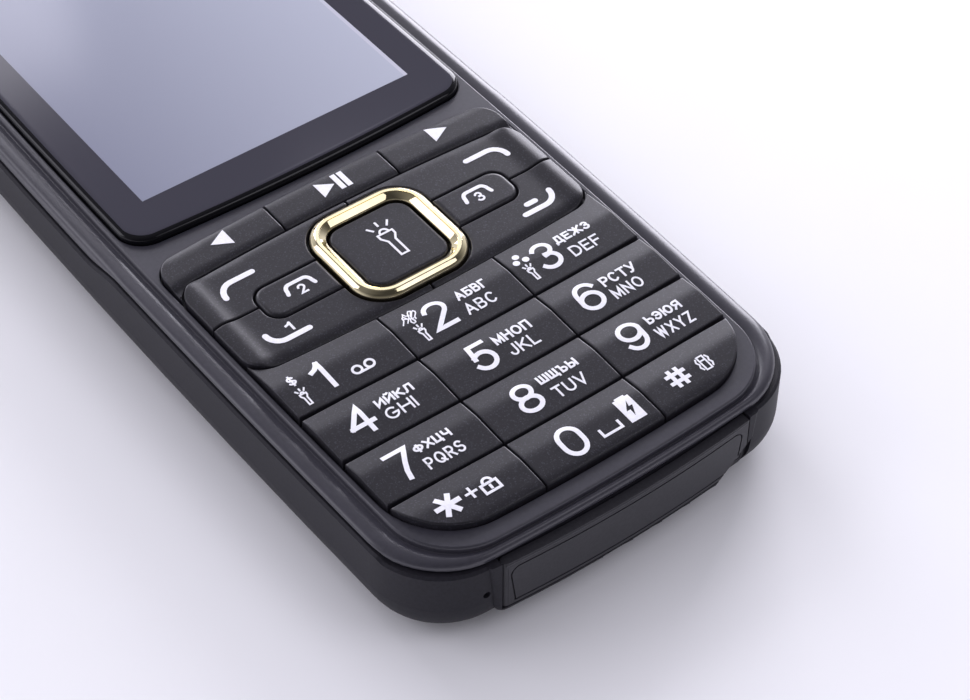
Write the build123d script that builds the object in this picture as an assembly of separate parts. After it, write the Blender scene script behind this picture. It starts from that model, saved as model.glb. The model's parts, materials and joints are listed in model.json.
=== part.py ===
from build123d import *
import os

# Candy-bar mobile phone with a wide keypad and a plated navigation ring, in millimetres.
# It lies on its back: the keys face +Z and the earpiece end points to +Y. The origin is on
# the table under the middle of the phone.

# Overall body
overall_length = 133.0
body_width = 56.4
key_plane = 13.6
side_bow_radius = 1900.0
end_bow_radius = 330.0
body_corner = 9.5
back_edge = 5.5

# Housing shells
rear_wall = 1.6
front_wall = 1.4
deck_wall = 1.2
front_inset = 0.45
deck_inset = 3.15
deck_end_inset = 1.6
deck_drop = 0.7
rim_step = 0.7
rim_round = 0.7
cove = 0.35
deck_edge = 0.2
seam_chamfer = 0.3
groove_height = 0.3
groove_depth = 0.4
shell_gap = 0.05

# Seam between the shells: it dips beside the display and again round the bottom end
seam_drop = 2.2
seam_dip_top = 1.1
seam_dip_end = 0.35
dip_top_before = 1.4
dip_top_run = 7.5
dip_end_start = 7.6
dip_end_run = 1.2

# Keypad field, from the bottom end upward
pad_margin = 4.0
pad_side = 4.1
pad_corner_low = 8.6
pad_corner_high = 3.2
last_row = 7.5
row_pitch = 7.9
column_pitch = 16.4
ring_margin = 1.2
block_corner_low = 3.4
block_corner_high = 3.0
media_height = 5.1
row_bow_radius = 600.0
key_gap = 0.25
pad_gap = 0.25
key_depth = 1.45
key_lift = 0.45

# Number keys: a soft ridge runs across each row
ridge_from_top = 3.0
ridge_rise = 0.4
ridge_round = 5.0
ridge_tail = 3.3

# Call and soft keys: a shallow dish rises to a ridge near each side
dish_start = 6.2
dish_ridge = 2.3
dish_rise = 0.35
dish_fall = 0.3
dish_round = 2.2
call_split_lift = 9.4

# Call tabs of the second and third card, each side of the ring
tab_length = 9.4
tab_height = 5.4
tab_corner = 1.9
tab_rise = 0.15
tab_edge = 0.25

# Navigation ring and centre key
ring_size = 15.9
ring_corner = 4.5
ring_width = 2.1
ring_rise = 0.75
ring_bevel = 0.7
ring_depth = 1.95
ring_gap = 0.3
centre_rise = 0.1
centre_edge = 0.3
centre_depth = 0.95
rocker_inset = 3.7
rocker_hole = 6.4
rocker_thickness = 0.25
rocker_lift = 0.25
ring_stem = 1.2

# Keypad mat, domes and plungers
mat_margin = 0.7
mat_thickness = 0.8
stem_width = 2.2
stem_gap = 0.4
dome_diameter = 4.6
ring_dome = 2.4
dome_sides = 6
dome_slope = 60.0
dome_height = 0.3
dome_gap = 0.45

# Display
lens_gap_low = 2.0
lens_end = 3.4
lens_side = 3.85
lens_corner = 3.4
lens_corner_high = 5.6
lens_thickness = 1.5
lens_rise = 0.3
lens_bevel_width = 1.0
lens_bevel_drop = 0.45
lens_gap = 0.12
tape_thickness = 0.1
tape_width = 1.5
lcd_inset = 3.6
lcd_end = 10.5
lcd_side = 6.85
lcd_thickness = 2.3
lcd_gap = 0.2
lcd_view_side = 2.05
lcd_view_low = 3.1
lcd_view_end = 4.2
lcd_view_depth = 0.15

# Earpiece, above the display
earpiece_down = 9.8
earpiece_width = 12.0
earpiece_height = 5.0
earpiece_thickness = 2.2
slot_width = 10.2
slot_height = 1.8
mesh_thickness = 0.3

# Main board and what stands on it
board_thickness = 0.8
board_drop = 3.8
board_gap = 1.0
can_height = 0.75
can_length = 15.0
can_gap = 1.9
screw_diameter = 1.4
screw_head = 2.4
screw_head_height = 0.6
screw_gap = 0.08
stud_sides = 8
post_width = 3.4
plate_drop = 5.5
plate_thickness = 0.8
boss_spacing = 33.0
can_apart = 3.0

# Battery, its bay and its sliding cover
bay_low = 17.7
bay_side = 7.4
bay_bar = 4.5
battery_gap = 0.35
battery_thickness = 4.4
cover_lap = 0.7
cover_over = 2.8
cover_thickness = 1.2
cover_gap = 0.15
cover_rail = 1.0
cover_rail_height = 0.5
cover_rail_lift = 0.45
thumb_groove_depth = 0.5
thumb_groove_radius = 22.0
thumb_groove_width = 16.0
contact_width = 1.6
contact_height = 2.6
contact_pitch = 6.0
card_width = 13.0
card_length = 11.0
card_thickness = 1.1
card_rim = 0.8
card_sheet = 0.25
card_space = 2.0
card_gap = 3.5
battery_round = 1.0

# Bottom end: the dust flap in its raised frame, with the sockets behind it
frame_proud = 0.8
frame_side = 9.6
frame_taper = 0.85
frame_low = 2.85
frame_corner = 1.5
frame_round = 0.5
frame_bow_radius = 176.0
flap_side = 11.2
flap_low = 3.65
flap_thickness = 1.2
flap_gap = 0.15
flap_top_gap = 0.3
panel_side = 0.7
panel_top = 1.0
panel_low = 0.4
panel_taper = 0.7
panel_corner = 1.3
panel_groove = 0.2
nail_width = 3.4
nail_height = 3.0
nail_radius = 4.0
nail_reach = 2.6
usb_width = 7.5
usb_height = 2.6
usb_length = 5.6
usb_wall = 0.3
jack_across = 6.0
socket_space = 4.25
jack_length = 12.0
jack_height = 5.0
jack_nose = 4.8
jack_bore = 3.6
jack_depth = 11.0
plug_length = 1.3
plug_gap = 0.4
mic_outside = 0.2
mic_height = 6.7
mic_hole = 0.9
mic_width = 4.0
mic_length = 3.0
mic_thickness = 1.1

# Upper back: camera, loudspeaker, motor, antenna and torch
back_floor = 1.8
part_gap = 0.1
upper_bay_side = 4.2
lower_bay_floor = 2.4
camera_down = 23.6
camera_size = 8.5
camera_height = 5.4
camera_hole = 6.4
camera_glass = 0.8
camera_recess = 0.2
speaker_inset = 2.0
speaker_space = 4.2
speaker_width = 20.0
speaker_length = 13.0
speaker_height = 4.4
speaker_corner = 3.2
grille_slots = 5
grille_pitch = 3.0
grille_slot_width = 1.1
grille_slot_length = 7.0
motor_inset = 6.5
motor_down = 26.2
motor_diameter = 4.4
motor_length = 9.0
motor_shaft = 0.8
weight_radius = 2.3
weight_bore_gap = 0.05
weight_length = 3.6
weight_gap = 0.3
antenna_down = 12.2
antenna_side = 10.2
antenna_length = 7.6
antenna_height = 4.0
antenna_corner = 1.5
torch_diameter = 6.0
torch_height = 6.0
torch_length = 1.9
torch_gap = 0.1
led_size = 3.6
led_depth = 1.5

# How far a cutting shape reaches past what it cuts
past = 1.0

# Levels above the table and places along the body
half_width = body_width / 2
y_top = overall_length / 2
y_end = frame_proud - overall_length / 2
deck_z = key_plane - deck_drop
rim_z = deck_z - rim_step
seam_z = key_plane - seam_drop
ceiling_z = deck_z - deck_wall
lens_z = key_plane + lens_rise
board_z = key_plane - board_drop
board_low_z = board_z - board_thickness
plate_z = key_plane - plate_drop
bay_z = plate_z - plate_thickness
key_base = key_plane - key_depth
mat_z = key_base - key_lift - part_gap
stem_z = board_z + dome_height + dome_gap
pad_low = y_end + pad_margin
block_low = pad_low + last_row + 3 * row_pitch
block_high = block_low + ring_size + 2 * ring_margin
pad_high = block_high + media_height
lens_y = pad_high + lens_gap_low
lcd_y = lens_y + lcd_inset
block_middle = (block_low + block_high) / 2
pad_width = body_width - 2 * pad_side
bay_width = body_width - 2 * bay_side
cover_width = bay_width + 2 * cover_lap
frame_half = half_width - frame_side
flap_half = half_width - flap_side
frame_face = -overall_length / 2
flap_y = frame_face + flap_thickness
pocket_y = flap_y + flap_gap
parts = {}


def along(distance):
    """Place along the body, measured from the bottom end wall."""
    return y_end + distance


def down(distance):
    """Place along the body, measured from the top end."""
    return y_top - distance


def bowed_outline(half, y_low, y_high, r_low, r_high):
    """Plan face whose sides and ends bulge like the body's."""
    def side(y):
        return half - y * y / (2 * side_bow_radius)

    low, high = side(y_low), side(y_high)
    low_y = y_low + low * low / (2 * end_bow_radius)
    high_y = y_high - high * high / (2 * end_bow_radius)
    mid_y = (low_y + high_y) / 2
    mid = side(mid_y)
    face = make_face(Curve() + [
        ThreePointArc((-low, low_y), (0, y_low), (low, low_y)),
        ThreePointArc((low, low_y), (mid, mid_y), (high, high_y)),
        ThreePointArc((high, high_y), (0, y_high), (-high, high_y)),
        ThreePointArc((-high, high_y), (-mid, mid_y), (-low, low_y)),
    ])
    face = fillet(face.vertices().group_by(Axis.Y)[0], r_low)
    return fillet(face.vertices().group_by(Axis.Y)[-1], r_high)


def prism(face, z_low, z_high):
    """Plan face raised from one level to another."""
    return Pos(0, 0, z_low) * extrude(face, amount=z_high - z_low, dir=(0, 0, 1))


def taper(foot, crown, z_low, z_high):
    """Straight-sided solid from one plan face up to another."""
    return loft([Pos(0, 0, z_low) * foot, Pos(0, 0, z_high) * crown], ruled=True)


def block(x_low, x_high, y_low, y_high, z_low, z_high):
    """Box between two corners."""
    centre = ((x_low + x_high) / 2, (y_low + y_high) / 2, (z_low + z_high) / 2)
    return Pos(*centre) * Box(x_high - x_low, y_high - y_low, z_high - z_low)


def rect(x_low, x_high, y_low, y_high):
    """Plan rectangle between two corners."""
    return Pos((x_low + x_high) / 2, (y_low + y_high) / 2) * Rectangle(x_high - x_low, y_high - y_low)


def rod(x, y, z_low, z_high, diameter):
    """Upright cylinder."""
    return Pos(x, y, (z_low + z_high) / 2) * Cylinder(diameter / 2, z_high - z_low)


def post(x, y, z_low, z_high, width):
    """Upright square bar."""
    return Pos(x, y, (z_low + z_high) / 2) * Box(width, width, z_high - z_low)


def stud(x, y, z_low, z_high, diameter):
    """Upright bar of few sides, for small hidden pieces."""
    return Pos(x, y, z_low) * extrude(RegularPolygon(diameter / 2, stud_sides), amount=z_high - z_low)


def end_rod(x, z, y_low, y_high, diameter):
    """Cylinder lying along the body."""
    return Pos(x, (y_low + y_high) / 2, z) * Rot(90, 0, 0) * Cylinder(diameter / 2, y_high - y_low)


def top_edges(solid):
    """Edges of a solid's highest level."""
    return solid.edges().group_by(Axis.Z)[-1]


def seam_block(lift):
    """Everything below the wavy seam, raised by lift."""
    side = seam_z + lift
    end = side - seam_dip_end
    upper = side - seam_dip_top
    far = overall_length
    step_low, step_high = along(dip_end_start), along(dip_end_start + dip_end_run)
    dip_low = lens_y - dip_top_before
    dip_high = dip_low + dip_top_run
    level = ((1, 0), (1, 0))
    profile = make_face(Curve() + [
        Line((-far, end), (step_low, end)),
        Spline((step_low, end), (step_high, side), tangents=level),
        Line((step_high, side), (dip_low, side)),
        Spline((dip_low, side), (dip_high, upper), tangents=level),
        Polyline((dip_high, upper), (far, upper), (far, -far), (-far, -far), (-far, end)),
    ])
    return extrude(Plane.YZ * profile, amount=body_width, both=True)


# Outlines that the shells and the keys share, each with a margin outward
def body_outline(margin):
    """Rear housing's outline in plan."""
    return bowed_outline(half_width + margin, y_end - margin, y_top + margin,
                         body_corner + margin, body_corner + margin)


def deck_outline(margin):
    """Flat deck of the front housing, set further in at the sides than at the ends."""
    inset = deck_end_inset - margin
    corner = body_corner - inset
    return bowed_outline(half_width - deck_inset + margin, y_end + inset, y_top - inset, corner, corner)


def pad_outline(margin):
    """The whole keypad."""
    return bowed_outline(pad_width / 2 + margin, pad_low - margin, pad_high + margin,
                         pad_corner_low + margin, pad_corner_high + margin)


def call_outline(margin):
    """The block of call and soft keys round the ring."""
    margin = margin - key_gap / 2
    return bowed_outline(pad_width / 2 + margin + key_gap / 2, block_low - margin, block_high + margin,
                         block_corner_low + margin, block_corner_high + margin)


def lens_outline(margin):
    """Display lens."""
    return bowed_outline(half_width - lens_side + margin, lens_y - margin, down(lens_end) + margin,
                         lens_corner + margin, lens_corner_high + margin)


def ring_outline(margin):
    """Navigation ring, as a rounded square."""
    size = ring_size + 2 * margin
    return Pos(0, block_middle) * RectangleRounded(size, size, ring_corner + margin)


below_seam = seam_block(0)

# Front housing: deck, coved step and rounded rim, open over the display and the keypad
rim = prism(body_outline(-front_inset), seam_z - seam_dip_top, rim_z)
rim = chamfer(top_edges(rim), rim_round)
neck = prism(body_outline(-front_inset - groove_depth), seam_z - seam_dip_top, rim_z - rim_round / 2)
shell = (rim - seam_block(groove_height)) + (neck - seam_block(shell_gap))
shell -= prism(body_outline(-front_inset - front_wall), 0, ceiling_z)
edge_z = deck_z - deck_edge
deck = prism(deck_outline(0), ceiling_z, edge_z)
deck += taper(deck_outline(0), deck_outline(-deck_edge), edge_z, deck_z)
deck += taper(deck_outline(cove), deck_outline(0), rim_z, rim_z + cove)
lens_floor = lens_z - lens_thickness - tape_thickness
deck -= prism(lens_outline(lens_gap), lens_floor, lens_z)
lcd_high = down(lcd_end)
lcd_half = half_width - lcd_side
lcd_space = rect(-lcd_half - lcd_gap, lcd_half + lcd_gap, lcd_y - lcd_gap, lcd_high + lcd_gap)
ear_y = down(earpiece_down)
ear_half = earpiece_width / 2 + part_gap
ear_space = rect(-ear_half, ear_half, ear_y - part_gap, ear_y + earpiece_height + part_gap)
front = shell + deck
for opening in (pad_outline(pad_gap), lcd_space, ear_space):
    front -= prism(opening, 0, lens_z)
boss_y = (pad_high + pad_gap + lcd_y - lcd_gap) / 2
boss_x = boss_spacing / 2
for x in (-boss_x, boss_x):
    front += post(x, boss_y, board_z + shell_gap, ceiling_z + shell_gap, post_width)
    front -= stud(x, boss_y, 0, ceiling_z - shell_gap, screw_diameter + 2 * screw_gap)
parts["front_housing"] = front

# Display lens with a rounded black edge and the earpiece slot
lens = prism(lens_outline(0), lens_z - lens_thickness, lens_z)
lens_top = lens.faces().sort_by(Axis.Z)[-1]
lens = chamfer(lens_top.edges(), length=lens_bevel_width, length2=lens_bevel_drop, reference=lens_top)
slot_y = ear_y + earpiece_height / 2
slot_face = Pos(0, slot_y) * RectangleRounded(slot_width, slot_height, slot_height / 2 - part_gap)
lens -= prism(slot_face, 0, lens_z + past)
parts["display_lens"] = lens

tape_z = lens_floor + tape_thickness
tape = prism(lens_outline(0), lens_floor, tape_z)
tape_x = half_width - lens_side - tape_width
tape_window = rect(-tape_x, tape_x, lens_y + tape_width, down(lens_end) - tape_width)
tape_window = chamfer(tape_window.vertices(), lens_corner)
parts["lens_tape"] = tape - prism(tape_window, 0, key_plane)

# Display module: metal frame with the glass let into it
lcd_top = lens_floor - part_gap
lcd = block(-lcd_half, lcd_half, lcd_y, lcd_high, lcd_top - lcd_thickness, lcd_top)
view_half = lcd_half - lcd_view_side
lcd -= block(-view_half, view_half, lcd_y + lcd_view_low, lcd_high - lcd_view_end,
             lcd_top - lcd_view_depth, lcd_top + past)
parts["lcd_module"] = lcd

# Earpiece capsule under the lens and its mesh in the slot
ear = block(-earpiece_width / 2, earpiece_width / 2, ear_y, ear_y + earpiece_height,
            lens_floor - earpiece_thickness, lens_floor)
parts["earpiece"] = fillet(ear.edges().filter_by(Axis.Z), 2 * part_gap + slot_height / 2)
mesh_face = Pos(0, slot_y) * RectangleRounded(slot_width - 2 * part_gap, slot_height - 2 * part_gap,
                                              slot_height / 2 - 2 * part_gap)
parts["earpiece_mesh"] = prism(mesh_face, lens_z - lens_thickness, lens_z - lens_thickness + mesh_thickness)


# Keys: caps with a plunger that reaches down to the dome
stems = []


def with_stem(cap, x, y, base=key_base):
    """Key cap with its plunger, noting where the mat is pierced."""
    stems.append((x, y, stem_width))
    return cap + post(x, y, stem_z, base + shell_gap, stem_width)


def row_roof(y_low, y_high, y_reach):
    """Prism under one row of keys, with a soft ridge nearer its upper edge."""
    ridge_y = y_high - ridge_from_top
    ridge_z = key_plane + ridge_rise
    fall = ridge_rise / ridge_from_top
    profile = make_face(Polyline((y_low, 0), (y_low, key_plane), (ridge_y, ridge_z),
                                 (y_reach, key_plane - fall * (y_reach - y_high)), (y_reach, 0), close=True))
    profile = fillet(profile.vertices().group_by(Axis.Y)[-1], ridge_round)
    return extrude(Plane.YZ * profile, amount=body_width, both=True)


def row_band(y_low, y_high):
    """Plan band of one row, whose edges dip in the middle."""
    def dip(x):
        return (x * x - column_pitch * column_pitch / 2) / (2 * row_bow_radius)

    side, middle = dip(half_width), dip(0)
    return make_face(Curve() + [
        ThreePointArc((-half_width, y_low + side), (0, y_low + middle), (half_width, y_low + side)),
        Line((half_width, y_low + side), (half_width, y_high + side)),
        ThreePointArc((half_width, y_high + side), (0, y_high + middle), (-half_width, y_high + side)),
        Line((-half_width, y_high + side), (-half_width, y_low + side)),
    ])


pad_solid = prism(pad_outline(0), key_base, 2 * key_plane) - prism(call_outline(key_gap), 0, 2 * key_plane)
split = column_pitch / 2
column_x = (split + pad_width / 2) / 2
columns = [(-half_width, -split, -column_x), (-split, split, 0), (split, half_width, column_x)]
number_names = [["key_1", "key_2", "key_3"], ["key_4", "key_5", "key_6"],
                ["key_7", "key_8", "key_9"], ["key_star", "key_0", "key_hash"]]
for row, names in enumerate(number_names):
    row_high = block_low - row * row_pitch
    row_low = row_high - (last_row if row == 3 else row_pitch)
    reach = row_high + (block_corner_low if row == 0 else 0)
    roof = row_roof(row_low - ridge_tail, row_high, reach)
    low = row_low - (row_pitch if row == 3 else -key_gap / 2)
    high = reach - (0 if row == 0 else key_gap / 2)
    row_solid = pad_solid & prism(row_band(low, high), key_base, 2 * key_plane) & roof
    for name, (x_low, x_high, stem_x) in zip(names, columns):
        cell = rect(x_low + key_gap / 2, x_high - key_gap / 2, low - past, high + past)
        cap = row_solid & prism(cell, key_base, 2 * key_plane)
        parts[name] = with_stem(cap, stem_x, (row_low + row_high) / 2)

# Media keys above the call block
media_names = ["media_key_left", "media_key_play", "media_key_right"]
for name, (x_low, x_high, stem_x) in zip(media_names, columns):
    cell = rect(x_low + key_gap / 2, x_high - key_gap / 2, block_high - block_corner_high, pad_high)
    cap = pad_solid & prism(cell, key_base, key_plane)
    parts[name] = with_stem(cap, stem_x, (block_high + pad_high) / 2)


def dish_roof():
    """Prism under the call block: flat middle, a rise to a ridge near each side, then a fall."""
    edge = pad_width / 2
    ridge_z = key_plane + dish_rise
    side = [(edge - dish_start, key_plane), (edge - dish_ridge, ridge_z), (half_width, ridge_z - dish_fall)]
    right = side + [(half_width, 0)]
    left = [(-x, z) for x, z in reversed(right)]
    profile = make_face(Polyline(*left, *right, close=True))
    bends = [v for v in profile.vertices() if v.Y > key_base and abs(v.X) < edge]
    profile = fillet(bends, dish_round)
    return extrude(Plane.XZ * profile, amount=overall_length, both=True)


# Call block: two soft keys and the call and end keys, cut from one dished form
call_block = prism(call_outline(0), key_base, key_plane + 2 * dish_rise) & dish_roof()
call_block -= prism(ring_outline(ring_gap), 0, 2 * key_plane)
ring_edge = ring_size / 2 + ring_gap


def tab_outline(side, margin):
    """Call tab that grows out of the ring to one side."""
    ends = sorted((side * ring_edge, side * (ring_edge + tab_length + margin)))
    face = rect(*ends, block_middle - tab_height / 2 - margin, block_middle + tab_height / 2 + margin)
    return fillet(face.vertices().group_by(Axis.X)[-1 if side > 0 else 0], tab_corner + margin)


for name, side in (("call_key_sim2", -1), ("call_key_sim3", 1)):
    call_block -= prism(tab_outline(side, key_gap), 0, 2 * key_plane)
    tab = prism(tab_outline(side, 0), key_base, key_plane + tab_rise)
    tab = chamfer(top_edges(tab), tab_edge)
    parts[name] = with_stem(tab, side * (ring_edge + tab_length / 2), block_middle)
call_split = block_low + call_split_lift
quarters = {"soft_key_left": (-1, 1), "soft_key_right": (1, 1),
            "call_key_sim1": (-1, -1), "end_key": (1, -1)}
for name, (sx, sy) in quarters.items():
    far_x, far_y = sx * body_width, sy * overall_length
    xs = sorted((sx * key_gap / 2, far_x))
    ys = sorted((call_split + sy * key_gap / 2, call_split + far_y))
    cap = call_block & block(*xs, *ys, 0, 2 * key_plane)
    edge_y = block_high if sy > 0 else block_low
    tab_y = block_middle + sy * (tab_height / 2 + key_gap)
    parts[name] = with_stem(cap, sx * column_x, (edge_y + tab_y) / 2)

# Navigation ring: it rocks on a small plate under it
ring_top = key_plane + ring_rise
ring_base = ring_top - ring_depth
ring = prism(ring_outline(0) - ring_outline(-ring_width), ring_base, ring_top)
ring = chamfer(top_edges(ring), ring_bevel)
ring_middle = (ring_size - ring_width) / 2 + ring_stem / 4
for x, y in ((ring_middle, 0), (-ring_middle, 0), (0, ring_middle), (0, -ring_middle)):
    stems.append((x, block_middle + y, ring_stem))
    ring += post(x, block_middle + y, stem_z, ring_base + shell_gap, ring_stem)
parts["nav_ring"] = ring

rocker_z = mat_z + rocker_lift
rocker_size = ring_size - rocker_inset
rocker = RectangleRounded(rocker_size, rocker_size, ring_corner - ring_width)
rocker -= Rectangle(rocker_hole, rocker_hole)
parts["nav_rocker"] = prism(Pos(0, block_middle) * rocker, rocker_z, rocker_z + rocker_thickness)

centre_top = key_plane + centre_rise
centre = prism(ring_outline(-ring_width - ring_gap), centre_top - centre_depth, centre_top)
centre = chamfer(top_edges(centre), centre_edge)
parts["centre_key"] = with_stem(centre, 0, block_middle, centre_top - centre_depth)

# Keypad mat, pierced for the plungers, over the domes on the board
mat_x = pad_width / 2
mat_face = rect(-mat_x, mat_x, pad_low + mat_margin, pad_high + mat_margin)
mat_face = chamfer(mat_face.vertices().group_by(Axis.Y)[0], pad_corner_low / 2)
mat = prism(mat_face, mat_z - mat_thickness, mat_z)
domes = []
for x, y, width in stems:
    mat -= post(x, y, 0, key_plane, width + 2 * stem_gap)
    size = dome_diameter if width == stem_width else ring_dome
    dome = extrude(RegularPolygon(size / 2, dome_sides), amount=dome_height, taper=dome_slope)
    domes.append(Pos(x, y, board_z) * dome)
parts["keypad_mat"] = mat
parts["key_domes"] = Compound(children=domes)

# Main board, its shield cans and its screws
board = prism(body_outline(-rear_wall - board_gap), board_low_z, board_z)
for x in (-boss_x, boss_x):
    board -= post(x, boss_y, 0, key_plane, screw_diameter + 2 * screw_gap)
screw_x = (column_x + pad_width / 2) / 2
board_holes = [(-screw_x, block_low - row_pitch), (screw_x, block_middle)]
screws = []
for x, y in board_holes:
    board -= post(x, y, 0, key_plane, screw_diameter + 2 * screw_gap)
    shank = stud(x, y, bay_z + part_gap, board_z + screw_head_height, screw_diameter)
    screws.append(shank + stud(x, y, board_z, board_z + screw_head_height, screw_head))
parts["main_board"] = board
parts["board_screws"] = Compound(children=screws)
can_z = board_low_z - can_height
can_far = screw_x - post_width / 2 - can_gap
cans = []
for sx, y in ((-1, block_low), (1, block_middle)):
    xs = sorted((sx * can_apart / 2, sx * can_far))
    cans.append(block(*xs, y - can_length / 2, y + can_length / 2, can_z, board_low_z))
parts["shield_cans"] = Compound(children=cans)

# Rear housing: rounded tray with the battery bay, the flap frame and the upper bay
body = prism(body_outline(0), 0, key_plane)
body = fillet(body.edges().group_by(Axis.Z)[0], back_edge)


def end_sag(x):
    """How far the bowed face of the flap's frame has fallen back at one place."""
    return x * x / (2 * frame_bow_radius)


def end_slab(depth):
    """Everything inward from a given depth behind the bowed face of the flap's frame."""
    side = frame_face + depth + end_sag(half_width)
    return prism(make_face(Curve() + [
        ThreePointArc((-half_width, side), (0, frame_face + depth), (half_width, side)),
        Polyline((half_width, side), (half_width, 0), (-half_width, 0), (-half_width, side)),
    ]), 0, key_plane)


def end_plate(face):
    """Upright profile carried through the bottom end."""
    return Pos(0, frame_face - past, 0) * extrude(Plane.XZ * face, amount=-past - body_width / 2)


foot_half = frame_half - frame_taper
land = make_face(Polyline((-foot_half, frame_low), (foot_half, frame_low), (frame_half, seam_z),
                          (frame_half, key_plane), (-frame_half, key_plane), (-frame_half, seam_z),
                          close=True))
land = fillet(land.vertices().group_by(Axis.Y)[0], frame_corner)
end_box = block(-half_width, half_width, -overall_length, y_end + rear_wall, 0, key_plane)
land_box = end_plate(land) & end_slab(0)
land_box = fillet(land_box.edges().filter_by(lambda edge: edge.center().Y < y_end), frame_round) & end_box
body_low = body & below_seam
seam_line = [e for e in body_low.edges() if e.bounding_box().min.Z > seam_z - seam_dip_top - seam_chamfer]
rear = chamfer(seam_line, seam_chamfer)
rear += land_box & below_seam
speaker_low = down(camera_down + speaker_space + speaker_length)
upper_y = speaker_low - speaker_inset
bay_y, bay_end = along(bay_low), upper_y - bay_bar
inside = prism(body_outline(-rear_wall), 0, key_plane)
rear -= inside & block(-body_width, body_width, -overall_length, overall_length, plate_z, key_plane)
rear -= block(-bay_width / 2, bay_width / 2, bay_y, bay_end, -past, bay_z)
bay_half = half_width - upper_bay_side
rear -= inside & block(-bay_half, bay_half, upper_y, y_top, back_floor, key_plane)
rear -= inside & block(-bay_half, bay_half, y_end, bay_y - rear_wall, lower_bay_floor, key_plane)
flap_top = seam_z - seam_dip_end - flap_top_gap
pocket = rect(-flap_half - flap_gap, flap_half + flap_gap, flap_low - flap_gap, key_plane)
rear -= end_plate(pocket) - end_slab(flap_thickness + flap_gap)
nail_slope = (nail_width * nail_width + nail_height * nail_height) ** 0.5
nail_out = (nail_radius * nail_radius - nail_reach * nail_reach) ** 0.5
nail_x = flap_half - nail_width / 2 + nail_reach * nail_height / nail_slope
nail_z = flap_low + nail_height / 2 - nail_reach * nail_width / nail_slope
nail_line = Plane(origin=(nail_x, frame_face + end_sag(nail_x) - nail_out, nail_z),
                  z_dir=(nail_width, 0, nail_height))
nail_scoop = nail_line * Cylinder(nail_radius, 3 * nail_slope) & end_plate(land)
rear -= nail_scoop
for x, y in board_holes:
    rear += post(x, y, plate_z - shell_gap, board_low_z, post_width)
    rear -= stud(x, y, bay_z, key_plane, screw_diameter + 2 * screw_gap)
for x in (-boss_x, boss_x):
    rear -= stud(x, boss_y, 0, key_plane, screw_diameter + 2 * screw_gap)
    rear -= stud(x, boss_y, 0, bay_z, screw_head + 2 * screw_gap)

# Sockets behind the flap
usb_z = board_low_z - usb_height / 2
usb_y = pocket_y + end_sag(usb_width / 2) + part_gap
usb_gap = 2 * part_gap
rear -= block(-usb_width / 2 - usb_gap, usb_width / 2 + usb_gap, frame_face, y_end + 2 * rear_wall,
              usb_z - usb_height / 2 - usb_gap, board_low_z)
usb_low = usb_z - usb_height / 2
usb = block(-usb_width / 2, usb_width / 2, usb_y, usb_y + usb_length, usb_low, usb_low + usb_height)
usb = fillet(usb.edges().filter_by(Axis.Y), usb_height / 4)
usb_room = usb_width / 2 - usb_wall
usb -= block(-usb_room, usb_room, usb_y - past, usb_y + usb_length - 2 * usb_wall,
             usb_low + usb_wall, usb_low + usb_height - usb_wall)
parts["usb_socket"] = usb
jack_z = board_low_z - jack_height / 2
jack_offset = (usb_width + jack_across) / 2 + socket_space
jack_y = pocket_y + end_sag(jack_offset + jack_nose / 2) + part_gap
rear -= end_rod(jack_offset, jack_z, frame_face, y_end + 2 * rear_wall, jack_nose + 2 * usb_gap)
jack_side = jack_offset + jack_across / 2
jack_body_y = y_end + rear_wall + jack_side ** 2 / (2 * end_bow_radius) + part_gap
jack = block(jack_offset - jack_across / 2, jack_offset + jack_across / 2, jack_body_y, jack_y + jack_length,
             board_low_z - jack_height, board_low_z)
jack += end_rod(jack_offset, jack_z, jack_y, jack_body_y + past, jack_nose)
jack -= end_rod(jack_offset, jack_z, jack_y - past, jack_y + jack_depth, jack_bore)
parts["headset_jack"] = jack
mic_offset = frame_half + mic_outside
rear -= end_rod(-mic_offset, mic_height, frame_face, along(2 * rear_wall), mic_hole)
mic_y = along(2 * rear_wall)
mic = block(-mic_width / 2, mic_width / 2, mic_y, mic_y + mic_length,
            board_low_z - mic_thickness, board_low_z)
parts["microphone"] = Pos(-mic_offset, 0, 0) * mic

# Back openings: cover track, camera, loudspeaker grille and torch
cover_y = bay_end + cover_over
track_half = cover_width / 2 + cover_gap
track = block(-track_half, track_half, -overall_length, cover_y + cover_gap,
              -past, cover_thickness + cover_gap)
rail_half = cover_width / 2 + cover_rail
track += block(-rail_half - cover_gap, rail_half + cover_gap, -overall_length, cover_y + cover_gap,
               cover_rail_lift - cover_gap, cover_rail_lift + cover_rail_height + cover_gap)
rear -= track
camera_y = down(camera_down) + camera_size / 2
rear -= rod(0, camera_y, -past, back_floor + past, camera_hole + 2 * part_gap)
speaker_y = speaker_low + speaker_length / 2
for i in range(grille_slots):
    x = (i - (grille_slots - 1) / 2) * grille_pitch
    slot = Pos(x, speaker_y) * Rectangle(grille_slot_width, grille_slot_length)
    rear -= prism(slot, -past, back_floor + past)
rear -= end_rod(0, torch_height, y_top - 2 * rear_wall, y_top + past, torch_diameter + 2 * torch_gap)
parts["rear_housing"] = rear

# Battery cover: it takes the body's own underside and slides off towards the bottom end
cover = body & block(-cover_width / 2, cover_width / 2, -overall_length, cover_y, 0, cover_thickness)
for sx in (-1, 1):
    rail = sorted((sx * (cover_width / 2 - shell_gap), sx * rail_half))
    cover += block(*rail, along(back_edge), cover_y, cover_rail_lift, cover_rail_lift + cover_rail_height)
groove_z = thumb_groove_depth - thumb_groove_radius
thumb_groove = Rot(0, 90, 0) * Cylinder(thumb_groove_radius, thumb_groove_width)
cover -= Pos(0, along(back_edge) + bay_low, groove_z) * thumb_groove
parts["battery_cover"] = cover

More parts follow.
